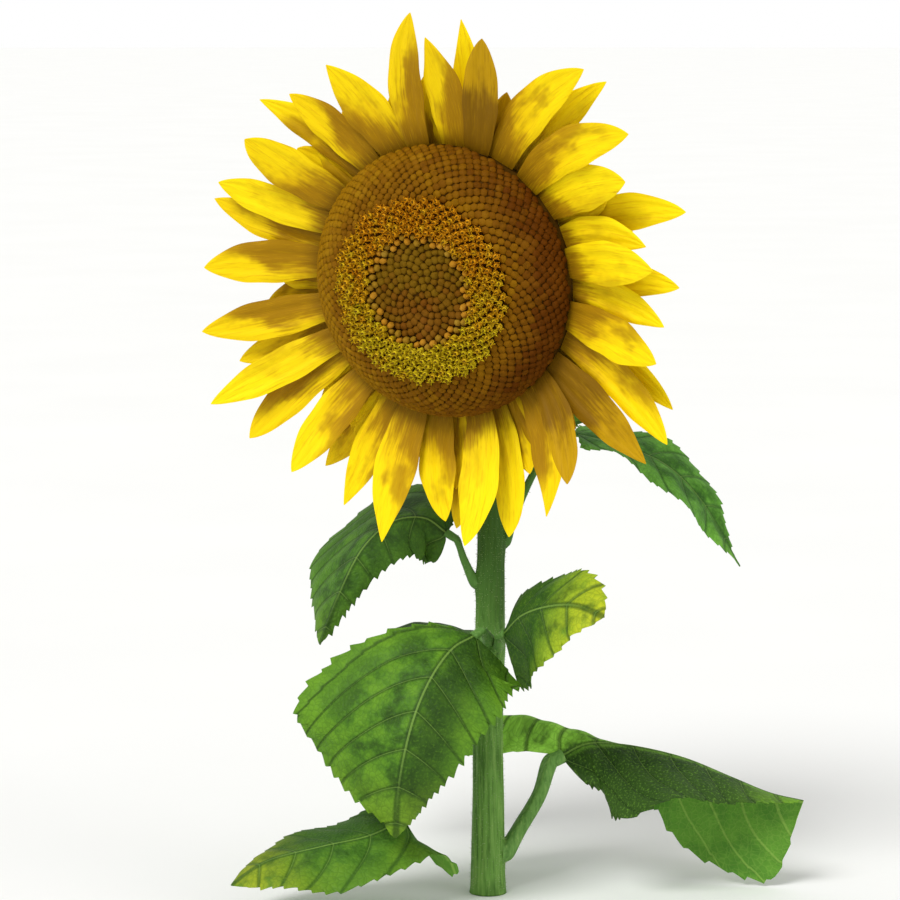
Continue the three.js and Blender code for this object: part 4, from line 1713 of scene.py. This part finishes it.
@dataclass
class Head:
    """The flower head: receptacle, bracts, ray petals and disc."""

    place: HeadFrame
    petals: tuple[Petal, ...]
    disc: Disc
    seed: int = 21

    ROOM = 7.0  # step between roots, in degrees, that leaves room for a small petal
    TUCKED = 77.5  # where a small petal's root is, behind the rim
    SMALL = ((-3, 3), (112, 128), (17, 21))  # its least and greatest sweep, reach and width
    BACK_TIER = 4
    CUP_RIBS = 34
    CUP_RIB = 0.35
    CHAFF_AND_SHADE_FROM = -7.0  # height above which the cup is brown between the petals: chaff and painted shade
    BRACT_ROWS = 16
    BRACT_COLUMNS = 9
    BRACT_CUP = 0.3  # how deep a bract is hollowed
    BRACT_PLEAT = 0.25
    BRACT_THICKNESS = 1.1

    def add(self, name: str, shells: Sequence[Shell], finishes: Sequence[Finish], slot: Slot,
            solid: str, crease: float = 50.0) -> None:
        """Joins shells of the head's own frame in one piece at the head's place."""
        Shell.joined(shells).moved(self.place).build(name, finishes, slot, [solid], crease)

    def build_petals(self) -> None:
        """Each petal as its own piece; small ones join the petal they stand behind."""
        rng = np.random.default_rng(self.seed)
        under = PetalFinish("petal_back", body="#DCB608", gold="#C29600", shaded=0.5)
        following = (*self.petals[1:], self.petals[0])
        for number, (petal, after) in enumerate(zip(self.petals, following), start=1):
            shells = [petal.surface(rng), *self.between_petals(petal, after, rng)]
            self.add(f"ray_{number:02d}", shells, [PETAL_FINISHES[petal.tone], under],
                     Slot.PETAL, f"petal_{number:02d}", crease=60.0)

    def between_petals(self, petal: Petal, after: Petal, rng: np.random.Generator) -> list[Shell]:
        """Small petals at the back that fill a wide step to the next root.

        Args:
            petal: the petal before the step.
            after: the petal after it.
            rng: source of their sizes.

        Returns:
            One small petal for each full ROOM degrees of the step, or none.
        """
        step = (after.bearing - petal.bearing) % 360
        count = int(step // self.ROOM)
        turns = petal.bearing + step * (np.arange(count) + 1) / (count + 1)
        return [Petal(turn, *(rng.uniform(*ends) for ends in self.SMALL), self.BACK_TIER,
                      root=self.TUCKED).surface(rng) for turn in turns]

    def build_disc(self) -> None:
        """Outer, ring and centre florets as three pieces."""
        disc = self.disc
        radius, angle, _, _ = disc.stands()
        rng = np.random.default_rng(disc.seed)
        dice = rng.uniform(0.0, 1.0, len(radius))
        size = rng.uniform(*disc.sizes, len(radius))
        east = np.sin(angle)  # +1 on the right as seen from the front
        high = np.cos(angle)
        outer = radius > disc.outer
        ring = (radius >= disc.inner + disc.rim) & ~outer
        centre = radius < disc.inner - disc.rim
        edge = ~(outer | ring | centre)
        pad = disc.bud([(2.6, -0.5), (2.5, 0.8), (2.0, 1.3), (0.9, 1.6), (0.0, 1.75)])
        # painted shade: outer florets darker and redder towards the right flank of the dome, with a
        # random spread
        tone = dealt(2.0 + 3.6 * (east * smooth(radius, 56.0, 78.0)), dice, 1.4, len(OUTER_TONES))
        seeds = disc.zone(pad, outer, size[outer], tone[outer], 0.2)
        base = disc.base(disc.outer - 3, np.inf, len(OUTER_TONES))
        self.add("outer_florets", [base, seeds], (*OUTER_TONES, DEEP_BROWN), Slot.OUTER, "disc_outer")

        # painted highlight: ring florets yellower towards the bottom, with a random spread
        tone = dealt(1.5 - 1.6 * high, dice, 1.6, len(RING_TONES))
        florets = disc.zone(disc.open_floret(), ring, size[ring], 3 * tone[ring], 3.0)
        base = disc.base(disc.inner - 4, disc.outer + 2, 3 * len(RING_TONES))
        finishes = [finish for tube, arms in RING_TONES for finish in (tube, ANTHER_BROWN, arms)]
        self.add("ring_florets", [base, florets], [*finishes, DEEP_BROWN], Slot.RING, "disc_ring")

        round_bud = disc.bud([(1.7, -0.4), (2.15, 1.4), (1.85, 2.9), (0.9, 3.7), (0.0, 3.9)])
        small_bud = disc.bud([(2.5, -0.5), (2.3, 1.0), (1.5, 1.8), (0.6, 2.0), (0.0, 2.1)])
        tone = dealt(1.0 - 1.2 * high, dice, 1.6, len(CENTRE_TONES))
        buds = disc.zone(small_bud, centre, size[centre], tone[centre], 0.25)
        rim_tone = len(CENTRE_TONES) + (dice[edge] < 0.5)
        rim = disc.zone(round_bud, edge, size[edge], rim_tone, 0.4)
        finishes = (*CENTRE_TONES, *RIM_TONES, DEEP_BROWN)
        base = disc.base(0.0, disc.inner, len(finishes) - 1)
        self.add("centre_florets", [base, buds, rim], finishes, Slot.CENTRE, "disc_centre")

    def build_receptacle(self) -> None:
        """Fleshy green cup behind the disc, gently ribbed, brown at its rim with chaff and painted
        shade.
        """
        outline = np.array([
            [0.0, -28.0], [12.0, -28.0], [30.0, -26.0], [52.0, -22.0], [68.0, -16.5], [77.0, -10.5],
            [79.2, -6.0], [79.4, 2.6], [0.0, 2.6],
        ])
        profile = np.vstack([outline[:1], rounded(outline[1:-1], 60), outline[-1:]])
        shell = lathe_shell(profile, 180)
        radius = np.linalg.norm(shell.points[:, :2], axis=1)
        angle = np.arctan2(shell.points[:, 0], shell.points[:, 1])
        ribs = self.CUP_RIB * np.cos(self.CUP_RIBS * angle) * smooth(radius, 14.0, 40.0)
        shell.points[:, 2] += ribs * (shell.points[:, 2] < self.CHAFF_AND_SHADE_FROM)
        corner = np.where(shell.faces < 0, shell.faces[:, :1], shell.faces)
        # chaff and painted shade: the rim of the cup, seen between the petal roots, is dark brown
        shell.finish[(shell.points[corner][..., 2] > self.CHAFF_AND_SHADE_FROM).all(axis=1)] = 1
        finish = BractFinish("receptacle_green", body="#7C9A48", dark="#557A2E", light="#9CB466")
        chaff_and_shade = FloretFinish("rim_chaff_and_shade", body="#4A3006", dark="#2A1A02", light="#5C400C")
        self.add("head_back", [shell], [finish, chaff_and_shade], Slot.RECEPTACLE, "receptacle")

    def bract(self, bearing: float, root: tuple[float, float], rim: tuple[float, float],
              tip: tuple[float, float], width: float, rng: np.random.Generator) -> Shell:
        """One bract: a pointed blade that follows the cup and curls away.

        Its middle line is a quadratic curve through root, rim and tip, given as
        radius and height; its width is a power curve of the share to the tip.

        Args:
            bearing: angle round the head.
            root: where it leaves the cup.
            rim: where it passes the rim.
            tip: its point.
            width: greatest width.
            rng: source of its own bend.

        Returns:
            The bract in the head's frame.
        """
        t = np.linspace(0.0, 1.0, self.BRACT_ROWS)[:, None]
        s = np.linspace(-1.0, 1.0, self.BRACT_COLUMNS)[None, :]
        start, middle, end = np.array([root, rim, tip])
        line = bowed(start, 2 * middle - (start + end) / 2, end, t)
        half = width / 2 * np.maximum(np.sin(np.pi * (0.2 + 0.8 * t)) ** 0.6 * (1 - t ** 3), 0.03)
        turn = np.radians(bearing) + np.radians(rng.uniform(-5, 5)) * t ** 2
        outward, sideways = turn_about_z(turn[:, 0])
        grid = outward[:, None] * line[:, None, :1] + sideways[:, None] * (s * half)[..., None]
        cup = self.BRACT_CUP * s ** 2 * half + self.BRACT_PLEAT * np.cos(3 * np.pi * s)
        grid[..., 2] = line[:, 1][:, None] + cup * (1 - t)
        place = paired(t, np.abs(s))
        thin = tapering(self.BRACT_THICKNESS, t, s)
        return plate_shell(grid, thin, thin, place, place)

    def build_bracts(self) -> None:
        """Three overlapping rows of bracts round the back of the head."""
        rng = np.random.default_rng(self.seed + 1)
        rows = (
            (22, 0.0, (54.0, -22.4), (77.0, -14.0), (90.0, -15.5), 20.0),
            (20, 8.0, (44.0, -25.2), (74.0, -17.4), (87.0, -22.5), 21.0),
            (16, 3.0, (28.0, -28.4), (58.0, -23.6), (77.0, -29.0), 21.0),
        )
        shells = []
        for count, offset, root, rim, tip, width in rows:
            for k in range(count):
                longer = rng.uniform(-4.0, 5.0)
                end = (tip[0] + longer, tip[1] - 0.4 * longer)
                shells.append(self.bract(offset + 360.0 * k / count, root, rim, end, width, rng))
        under = BractFinish("bract_back", body="#54802F", dark="#375E1C", light="#7FA346")
        self.add("bract_rows", shells, [BractFinish("bract_green"), under], Slot.BRACT, "bracts")


# ---- Plant -------------------------------------------------------------------
# Lit and shaded copies of one petal finish: clear is the most lit, then golden, shaded and deep with
# more and more painted shade.
PETAL_FINISHES = {
    Tone.CLEAR: PetalFinish("petal_clear", body="#F8DC04", shaded=0.35, foot=0.24, side=0.4),
    Tone.GOLDEN: PetalFinish("petal_golden", body="#F6D600", shaded=0.8, foot=0.4, side=-0.5),
    Tone.SHADED: PetalFinish("petal_shaded", shaded=1.0, foot=0.6, side=0.9),
    Tone.DEEP: PetalFinish("petal_deep", body="#BA9000", gold="#9C7400", ochre="#7C5800", foot=0.6),
}


def tones(name: str, first: Tints, last: Tints, count: int) -> tuple[FloretFinish, ...]:
    """Finishes in even steps from one set of tints to another.

    Args:
        name: start of their names.
        first: tints of the first finish.
        last: tints of the last.
        count: how many.

    Returns:
        The finishes in order.
    """
    steps = []
    for k in range(count):
        tints = [between(a, b, k / (count - 1)) for a, b in zip(first, last)]
        steps.append(FloretFinish(f"{name}_{k}", *tints))
    return tuple(steps)


def between(first: str, second: str, share: float) -> str:
    """Colour part of the way from one #RRGGBB to another."""
    pairs = [(int(first[k:k + 2], 16), int(second[k:k + 2], 16)) for k in (1, 3, 5)]
    return "#" + "".join(f"{round(a + (b - a) * share):02X}" for a, b in pairs)


# outer tones run from the lit brown to the painted shade of the dome's right flank
OUTER_TONES = tones("seed", ("#8A6204", "#6A4800", "#9A7210"), ("#562C00", "#3A1E00", "#6C3E06"), 6)
CENTRE_TONES = tones("bud", ("#6C4E06", "#4C3602", "#7E6012"), ("#6A3E06", "#4A2A02", "#7E5014"), 4)
RIM_TONES = tones("rim_bud", ("#A8741A", "#7E520C", "#BE8C30"), ("#8E6A18", "#664A0C", "#A68430"), 2)
# corolla and style tones run from the top's orange to the painted highlight's yellow at the bottom
RING_TONES = tuple(zip(
    tones("corolla", ("#D49614", "#AC740A", "#E8B028"), ("#D6BE1E", "#AE9A12", "#E8D436"), 4),
    tones("style", ("#6E4A06", "#4A3002", "#8E6612"), ("#705C0C", "#4A3C04", "#90801E"), 4),
))
ANTHER_BROWN = FloretFinish("anther_brown", body="#5A3A08", dark="#3C2604", light="#74501A")
DEEP_BROWN = FloretFinish("deep_brown", body="#4A2E04", dark="#301C02", light="#5E3E0C")

CLEAR, GOLDEN, SHADED, DEEP = Tone
# The last column is each petal's painted light and shade: clear petals lit, deep ones in the head's own
# shade or under others.
PETALS = tuple(Petal(*row) for row in (
    (7, -5, 145, 24, 1, SHADED), (12, -4, 155, 20, 3, CLEAR), (18, -1, 152, 23, 0, DEEP),
    (29, 10, 164, 25, 1, GOLDEN), (37, 6, 162, 20, 3, CLEAR), (44, 11, 161, 25, 0, GOLDEN),
    (56, 7, 141, 27, 1, CLEAR), (67, 7, 159, 22, 4, CLEAR), (71, 8, 136, 22, 2, CLEAR),
    (81, 3, 144, 26, 0, CLEAR), (87, 3, 147, 20, 4, CLEAR), (92, 6, 144, 20, 2, CLEAR),
    (103, 2, 148, 26, 0, GOLDEN), (111, 6, 157, 18, 4, CLEAR), (114, 8, 167, 22, 2, GOLDEN),
    (126, 1, 164, 25, 1, DEEP), (134, 9, 140, 20, 0, DEEP), (143, 12, 150, 22, 2, SHADED),
    (161, 6, 156, 20, 3, CLEAR), (167, 7, 154, 25, 0, CLEAR), (177, 4, 151, 20, 4, SHADED),
    (187, -6, 143, 24, 2, GOLDEN), (198, -4, 159, 27, 0, GOLDEN), (208, -1, 154, 22, 2, GOLDEN),
    (215, 2, 147, 20, 4, SHADED), (223, -3, 150, 24, 0, GOLDEN), (237, -4, 165, 22, 2, SHADED),
    (243, 0, 167, 22, 0, CLEAR), (249, 0, 149, 20, 3, GOLDEN), (257, 1, 159, 24, 1, SHADED),
    (276, -3, 147, 26, 0, SHADED), (285, 3, 152, 22, 2, SHADED), (293, 0, 149, 22, 1, CLEAR),
    (305, 2, 142, 26, 0, GOLDEN), (320, -7, 155, 20, 3, GOLDEN), (325, -4, 142, 22, 2, SHADED),
    (339, -4, 142, 28, 1, GOLDEN), (351, 9, 160, 22, 0, SHADED),
))
# painted shade over the left half of the blade
MID_GREEN = LeafFinish("leaf_mid", body="#426E16", dark="#223E0A", light="#64921E", tip="#6E9220",
                       shaded_side=-1.0)
SHADED_GREEN = LeafFinish("leaf_shaded", body="#3A6214", dark="#22400A", light="#548024", tip="#5A821E")
# painted shade over the left half of the blade, where it hangs down
HALF_SHADED_GREEN = LeafFinish("leaf_half_shaded", body="#3E6818", dark="#223E0A", light="#588620", tip="#5C841E",
                          shaded_side=-0.6)
# painted light on the lobe through a bright body, and painted shade over the right half
DOUBLED_GREEN = LeafFinish("leaf_doubled", body="#8AC63E", dark="#1C3808", light="#9AD24E",
                           tip="#6C9A26", shaded_side=1.25, fold=150.0)
BRIGHT_GREEN = LeafFinish("leaf_bright", body="#467E1C", dark="#28540E", light="#72B43C", tip="#6CA830")
FRESH_GREEN = LeafFinish("leaf_fresh", body="#5A8E1E", dark="#22440A", light="#7EA828", tip="#B4BC1C",
                         tip_from=0.4, shade_to=0.8)
# painted shade over the far, right half of the blade
MELLOW_GREEN = LeafFinish("leaf_mellow", body="#46721C", dark="#2A4E10", light="#608820", tip="#96A41C",
                          tip_from=0.5, shaded_side=1.0, fold=60.0)
UNDER_GREEN = UnderLeafFinish("leaf_under")

LEAVES = (
    Leaf("front", 156, 262, 3.6, (-0.2, -0.75, 0.6), ((-1, -18, 161),), (-8, -35, 165),
         ((-21, -50, 160), (-33, -66, 147), (-43, -78, 127), (-50, -84, 102), (-54, -82, 75),
          (-55, -76, 51)),
         Half(45, 0.34, 12, (28, 34), shoulder=0.75, settled=0.4),
         Half(79, 0.56, 6, (4, 14), shoulder=0.1, blunt=-0.22),
         MID_GREEN, seed=1, teeth=24, tooth=3.2),
    Leaf("right_middle", 152, 300, 3.2, (-0.2, -0.7, 0.65), ((6, -12, 155),), (8, -18, 162),
         ((19, -38, 177), (35, -58, 186), (51, -75, 189), (66, -90, 185)),
         Half(30, 0.5, 2, (12, 10), shoulder=0.5), Half(42, 0.38, 16, (40, 18), shoulder=0.5),
         FRESH_GREEN, seed=2, teeth=18),
    Leaf("upper_left", 190, 180, 3.2, (-0.4, -0.5, 0.8), ((-14, 4, 203),), (-24, 9, 219),
         ((-38, 14, 228), (-57, 18, 226), (-75, 16, 211), (-91, 10, 181), (-102, 4, 152)),
         Half(26, 0.17, 5, (44, 60)), Half(70, 0.5, 4, (20, 24), blunt=-0.08),
         HALF_SHADED_GREEN, seed=3, teeth=22),
    Leaf("upper_right", 214, 20, 3.2, (0.25, 0, 1),
         ((15, 9, 229), (25, 9, 252), (37, 10, 273)), (52, 12, 280),
         ((79, 12, 273), (107, 10, 261), (128, 8, 240), (141, 6, 219), (152, 4, 200)),
         Half(36, 0.26, 2, (-6, -24), blunt=-0.2),
         Half(34, 0.5, 2, (6, 14), shoulder=0.8, settled=0.5, blunt=-0.2),
         BRIGHT_GREEN, seed=4, teeth=22),
    Leaf("lower_left", 112, 205, 3.2, (0, 0, 1), ((-23, -12, 87), (-38, -21, 71)), (-50, -33, 53),
         ((-71, -42, 45), (-100, -50, 40), (-133, -56, 32), (-153, -60, 19)),
         Half(38, 0.5, 28, (34, 28), shoulder=0.4, sag=4.0), Half(38, 0.4, 8, (-8, 0)),
         MELLOW_GREEN, seed=5, teeth=20),
    Leaf("lower_right", 25, 8, 4.9, (0, 0, 1), ((20, 6, 40), (31, 11, 58)), (44, 19, 80),
         ((60, 23, 87), (80, 25, 87), (118, 20, 80), (150, 14, 68), (172, 8, 60), (192, 4, 56)),
         Half(57, 0.78, 70, (-58, 84), shoulder=0.8, settled=0.46, sag=-0.1, blunt=0.9),
         Half(64, 0.3, -2, (40, 8), sag=0.1),
         DOUBLED_GREEN, seed=6, teeth=26, taper=0.12),
    Leaf("back_upper", 262, 78, 3.2, (0.15, 0.3, 1), ((10, 42, 284),), (17, 64, 290),
         ((20, 90, 301), (22, 114, 297), (24, 133, 279), (24, 139, 254)),
         Half(46, 0.35, 16, (18, 18)), Half(46, 0.35, 16, (18, 18)),
         MID_GREEN, seed=7, teeth=20),
    Leaf("back_lower", 126, 120, 3.4, (-0.2, 0.2, 1), ((-16, 26, 146),), (-30, 48, 155),
         ((-46, 74, 154), (-62, 98, 140), (-74, 116, 116), (-80, 124, 88)),
         Half(52, 0.35, 18, (18, 18)), Half(52, 0.35, 18, (18, 18)),
         SHADED_GREEN, seed=8, teeth=22),
)


@dataclass
class Plant:
    """The whole sunflower."""

    stem: Stem
    leaves: tuple[Leaf, ...]
    head: Head

    HAIRY_STALK = slice(8, -10)  # rings of a petiole that carry hairs
    HAIRY_STEM = slice(None, -12)  # rings of the stem that carry hairs
    STALK_SHARE = 3  # one hair on a petiole for so many places

    def build_green(self) -> None:
        """Stem, petioles, hairs and blades."""
        petiole_green = StalkFinish("petiole_green", body="#669244", dark="#47702C", light="#8CAE5C")
        down = StalkFinish("hair_pale", body="#A9BE86", dark="#8CA66A", light="#C6D4A8")
        grown, seats = [], []
        for leaf in self.leaves:
            shell, points, outward = leaf.petiole(self.stem)
            shell.build(f"stalk_{leaf.name}", [petiole_green], Slot.PETIOLE, [f"petiole_{leaf.name}"])
            seats.append(self.stem.seat(leaf.height, leaf.bearing)[0])
            skin = np.stack([points, outward])[:, self.HAIRY_STALK].reshape(2, -1, 3)
            grown.append(skin[:, ::self.STALK_SHARE])
        shell, points, outward = self.stem.surface(seats)
        shell.build("stem_ribbed", [StalkFinish("stalk_green")], Slot.STEM, ["stem"])
        grown.append(np.stack([points, outward])[:, self.HAIRY_STEM].reshape(2, -1, 3))
        hairs = Hairs().grown(*np.concatenate(grown, axis=1))
        hairs.build("stem_hairs", [down], Slot.STEM, [])
        for leaf in self.leaves:
            leaf.blade().build(f"blade_{leaf.name}", [leaf.finish, UNDER_GREEN], Slot.LEAF,
                               [f"leaf_{leaf.name}"], crease=55.0)

    def build(self) -> None:
        """Every piece of the plant, from the ground up."""
        self.build_green()
        self.head.build_receptacle()
        self.head.build_bracts()
        self.head.build_petals()
        self.head.build_disc()


@dataclass
class Studio:
    """Pale floor, soft light and the camera."""

    target: Point = (-23.14, 0.0, 271.2)
    distance: float = 2200.0
    elevation: float = 7.0
    frame_width: float = 540.0  # what the view takes in at the target
    sensor: float = 36.0
    floor_radius: float = 40000.0
    floor_sides: int = 64
    floor_drop: float = 0.2  # how far the floor lies under the cut of the stem
    clip_end: float = 100.0  # metres
    surround: float = 0.6  # light from all round; the background itself is white

    def build_camera(self) -> None:
        """Camera in front of the plant, looking slightly down."""
        data = bpy.data.cameras.new("camera")
        data.sensor_width = self.sensor
        data.lens = self.sensor * self.distance / self.frame_width
        data.clip_end = self.clip_end
        camera = add_object("camera", data)
        angle = np.radians(self.elevation)
        back = Vector((0.0, -np.cos(angle), np.sin(angle)))
        camera.location = Vector(self.target) * MM + back * (self.distance * MM)
        camera.rotation_euler = back.to_track_quat("Z", "Y").to_euler()
        bpy.context.scene.camera = camera

    def build_floor(self) -> None:
        """Large round floor at ground level."""
        rings = np.array([0.02, 0.2, 1.0])[:, None, None] * self.floor_radius
        ring_points = (rings * circle(self.floor_sides)).reshape(-1, 3)
        points = np.vstack([ring_points, [[0.0, 0.0, 0.0]]])
        points[:, 2] -= self.floor_drop
        quads = grid_faces(len(rings), self.floor_sides, closed=True, turned=True)
        hub = fan_faces(len(ring_points), np.arange(self.floor_sides))[:, :3]
        mesh = bpy.data.meshes.new("floor")
        mesh.from_pydata((points * MM).tolist(), [], [*quads.tolist(), *hub.tolist()])
        mesh.materials.append(GroundFinish("floor_pale").material)
        floor = add_object("floor", mesh)
        floor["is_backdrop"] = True

    def build_light(self) -> None:
        """Even white surroundings with a broad key and a weaker fill."""
        scene = bpy.context.scene
        scene.view_settings.view_transform = "Standard"
        world = bpy.data.worlds.new("studio")
        world.use_nodes = True
        nodes, links = world.node_tree.nodes, world.node_tree.links
        lamp_side, seen_side = nodes["Background"], nodes.new("ShaderNodeBackground")
        lamp_side.inputs["Strength"].default_value = self.surround
        for side in (lamp_side, seen_side):
            side.inputs["Color"].default_value = (1.0, 1.0, 1.0, 1.0)
        blend, ray = nodes.new("ShaderNodeMixShader"), nodes.new("ShaderNodeLightPath")
        links.new(ray.outputs["Is Camera Ray"], blend.inputs[0])
        links.new(lamp_side.outputs[0], blend.inputs[1])
        links.new(seen_side.outputs[0], blend.inputs[2])
        links.new(blend.outputs[0], nodes["World Output"].inputs["Surface"])
        scene.world = world
        for name, energy, width, way in (
            ("key", 2.2, 24.0, (-0.5, -0.8, 0.95)),
            ("fill", 0.5, 40.0, (0.9, -0.5, 0.35)),
        ):
            data = bpy.data.lights.new(name, "SUN")
            data.energy = energy
            data.angle = np.radians(width)
            lamp = add_object(name, data)
            lamp.rotation_euler = Vector(way).to_track_quat("Z", "Y").to_euler()


def corners() -> list[list[float]]:
    """Lowest and highest corner of all that is shown, in metres."""
    return [[float(v) for v in corner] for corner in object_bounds()]


def main() -> None:
    """Builds the plant and its studio."""
    logging.basicConfig(level=logging.INFO, format="%(name)s %(message)s")
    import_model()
    place = HeadFrame()
    head = Head(place, PETALS, Disc())
    Plant(Stem(place), LEAVES, head).build()
    studio = Studio()
    studio.build_floor()
    studio.build_camera()
    studio.build_light()


if __name__ == "__main__":
    main()
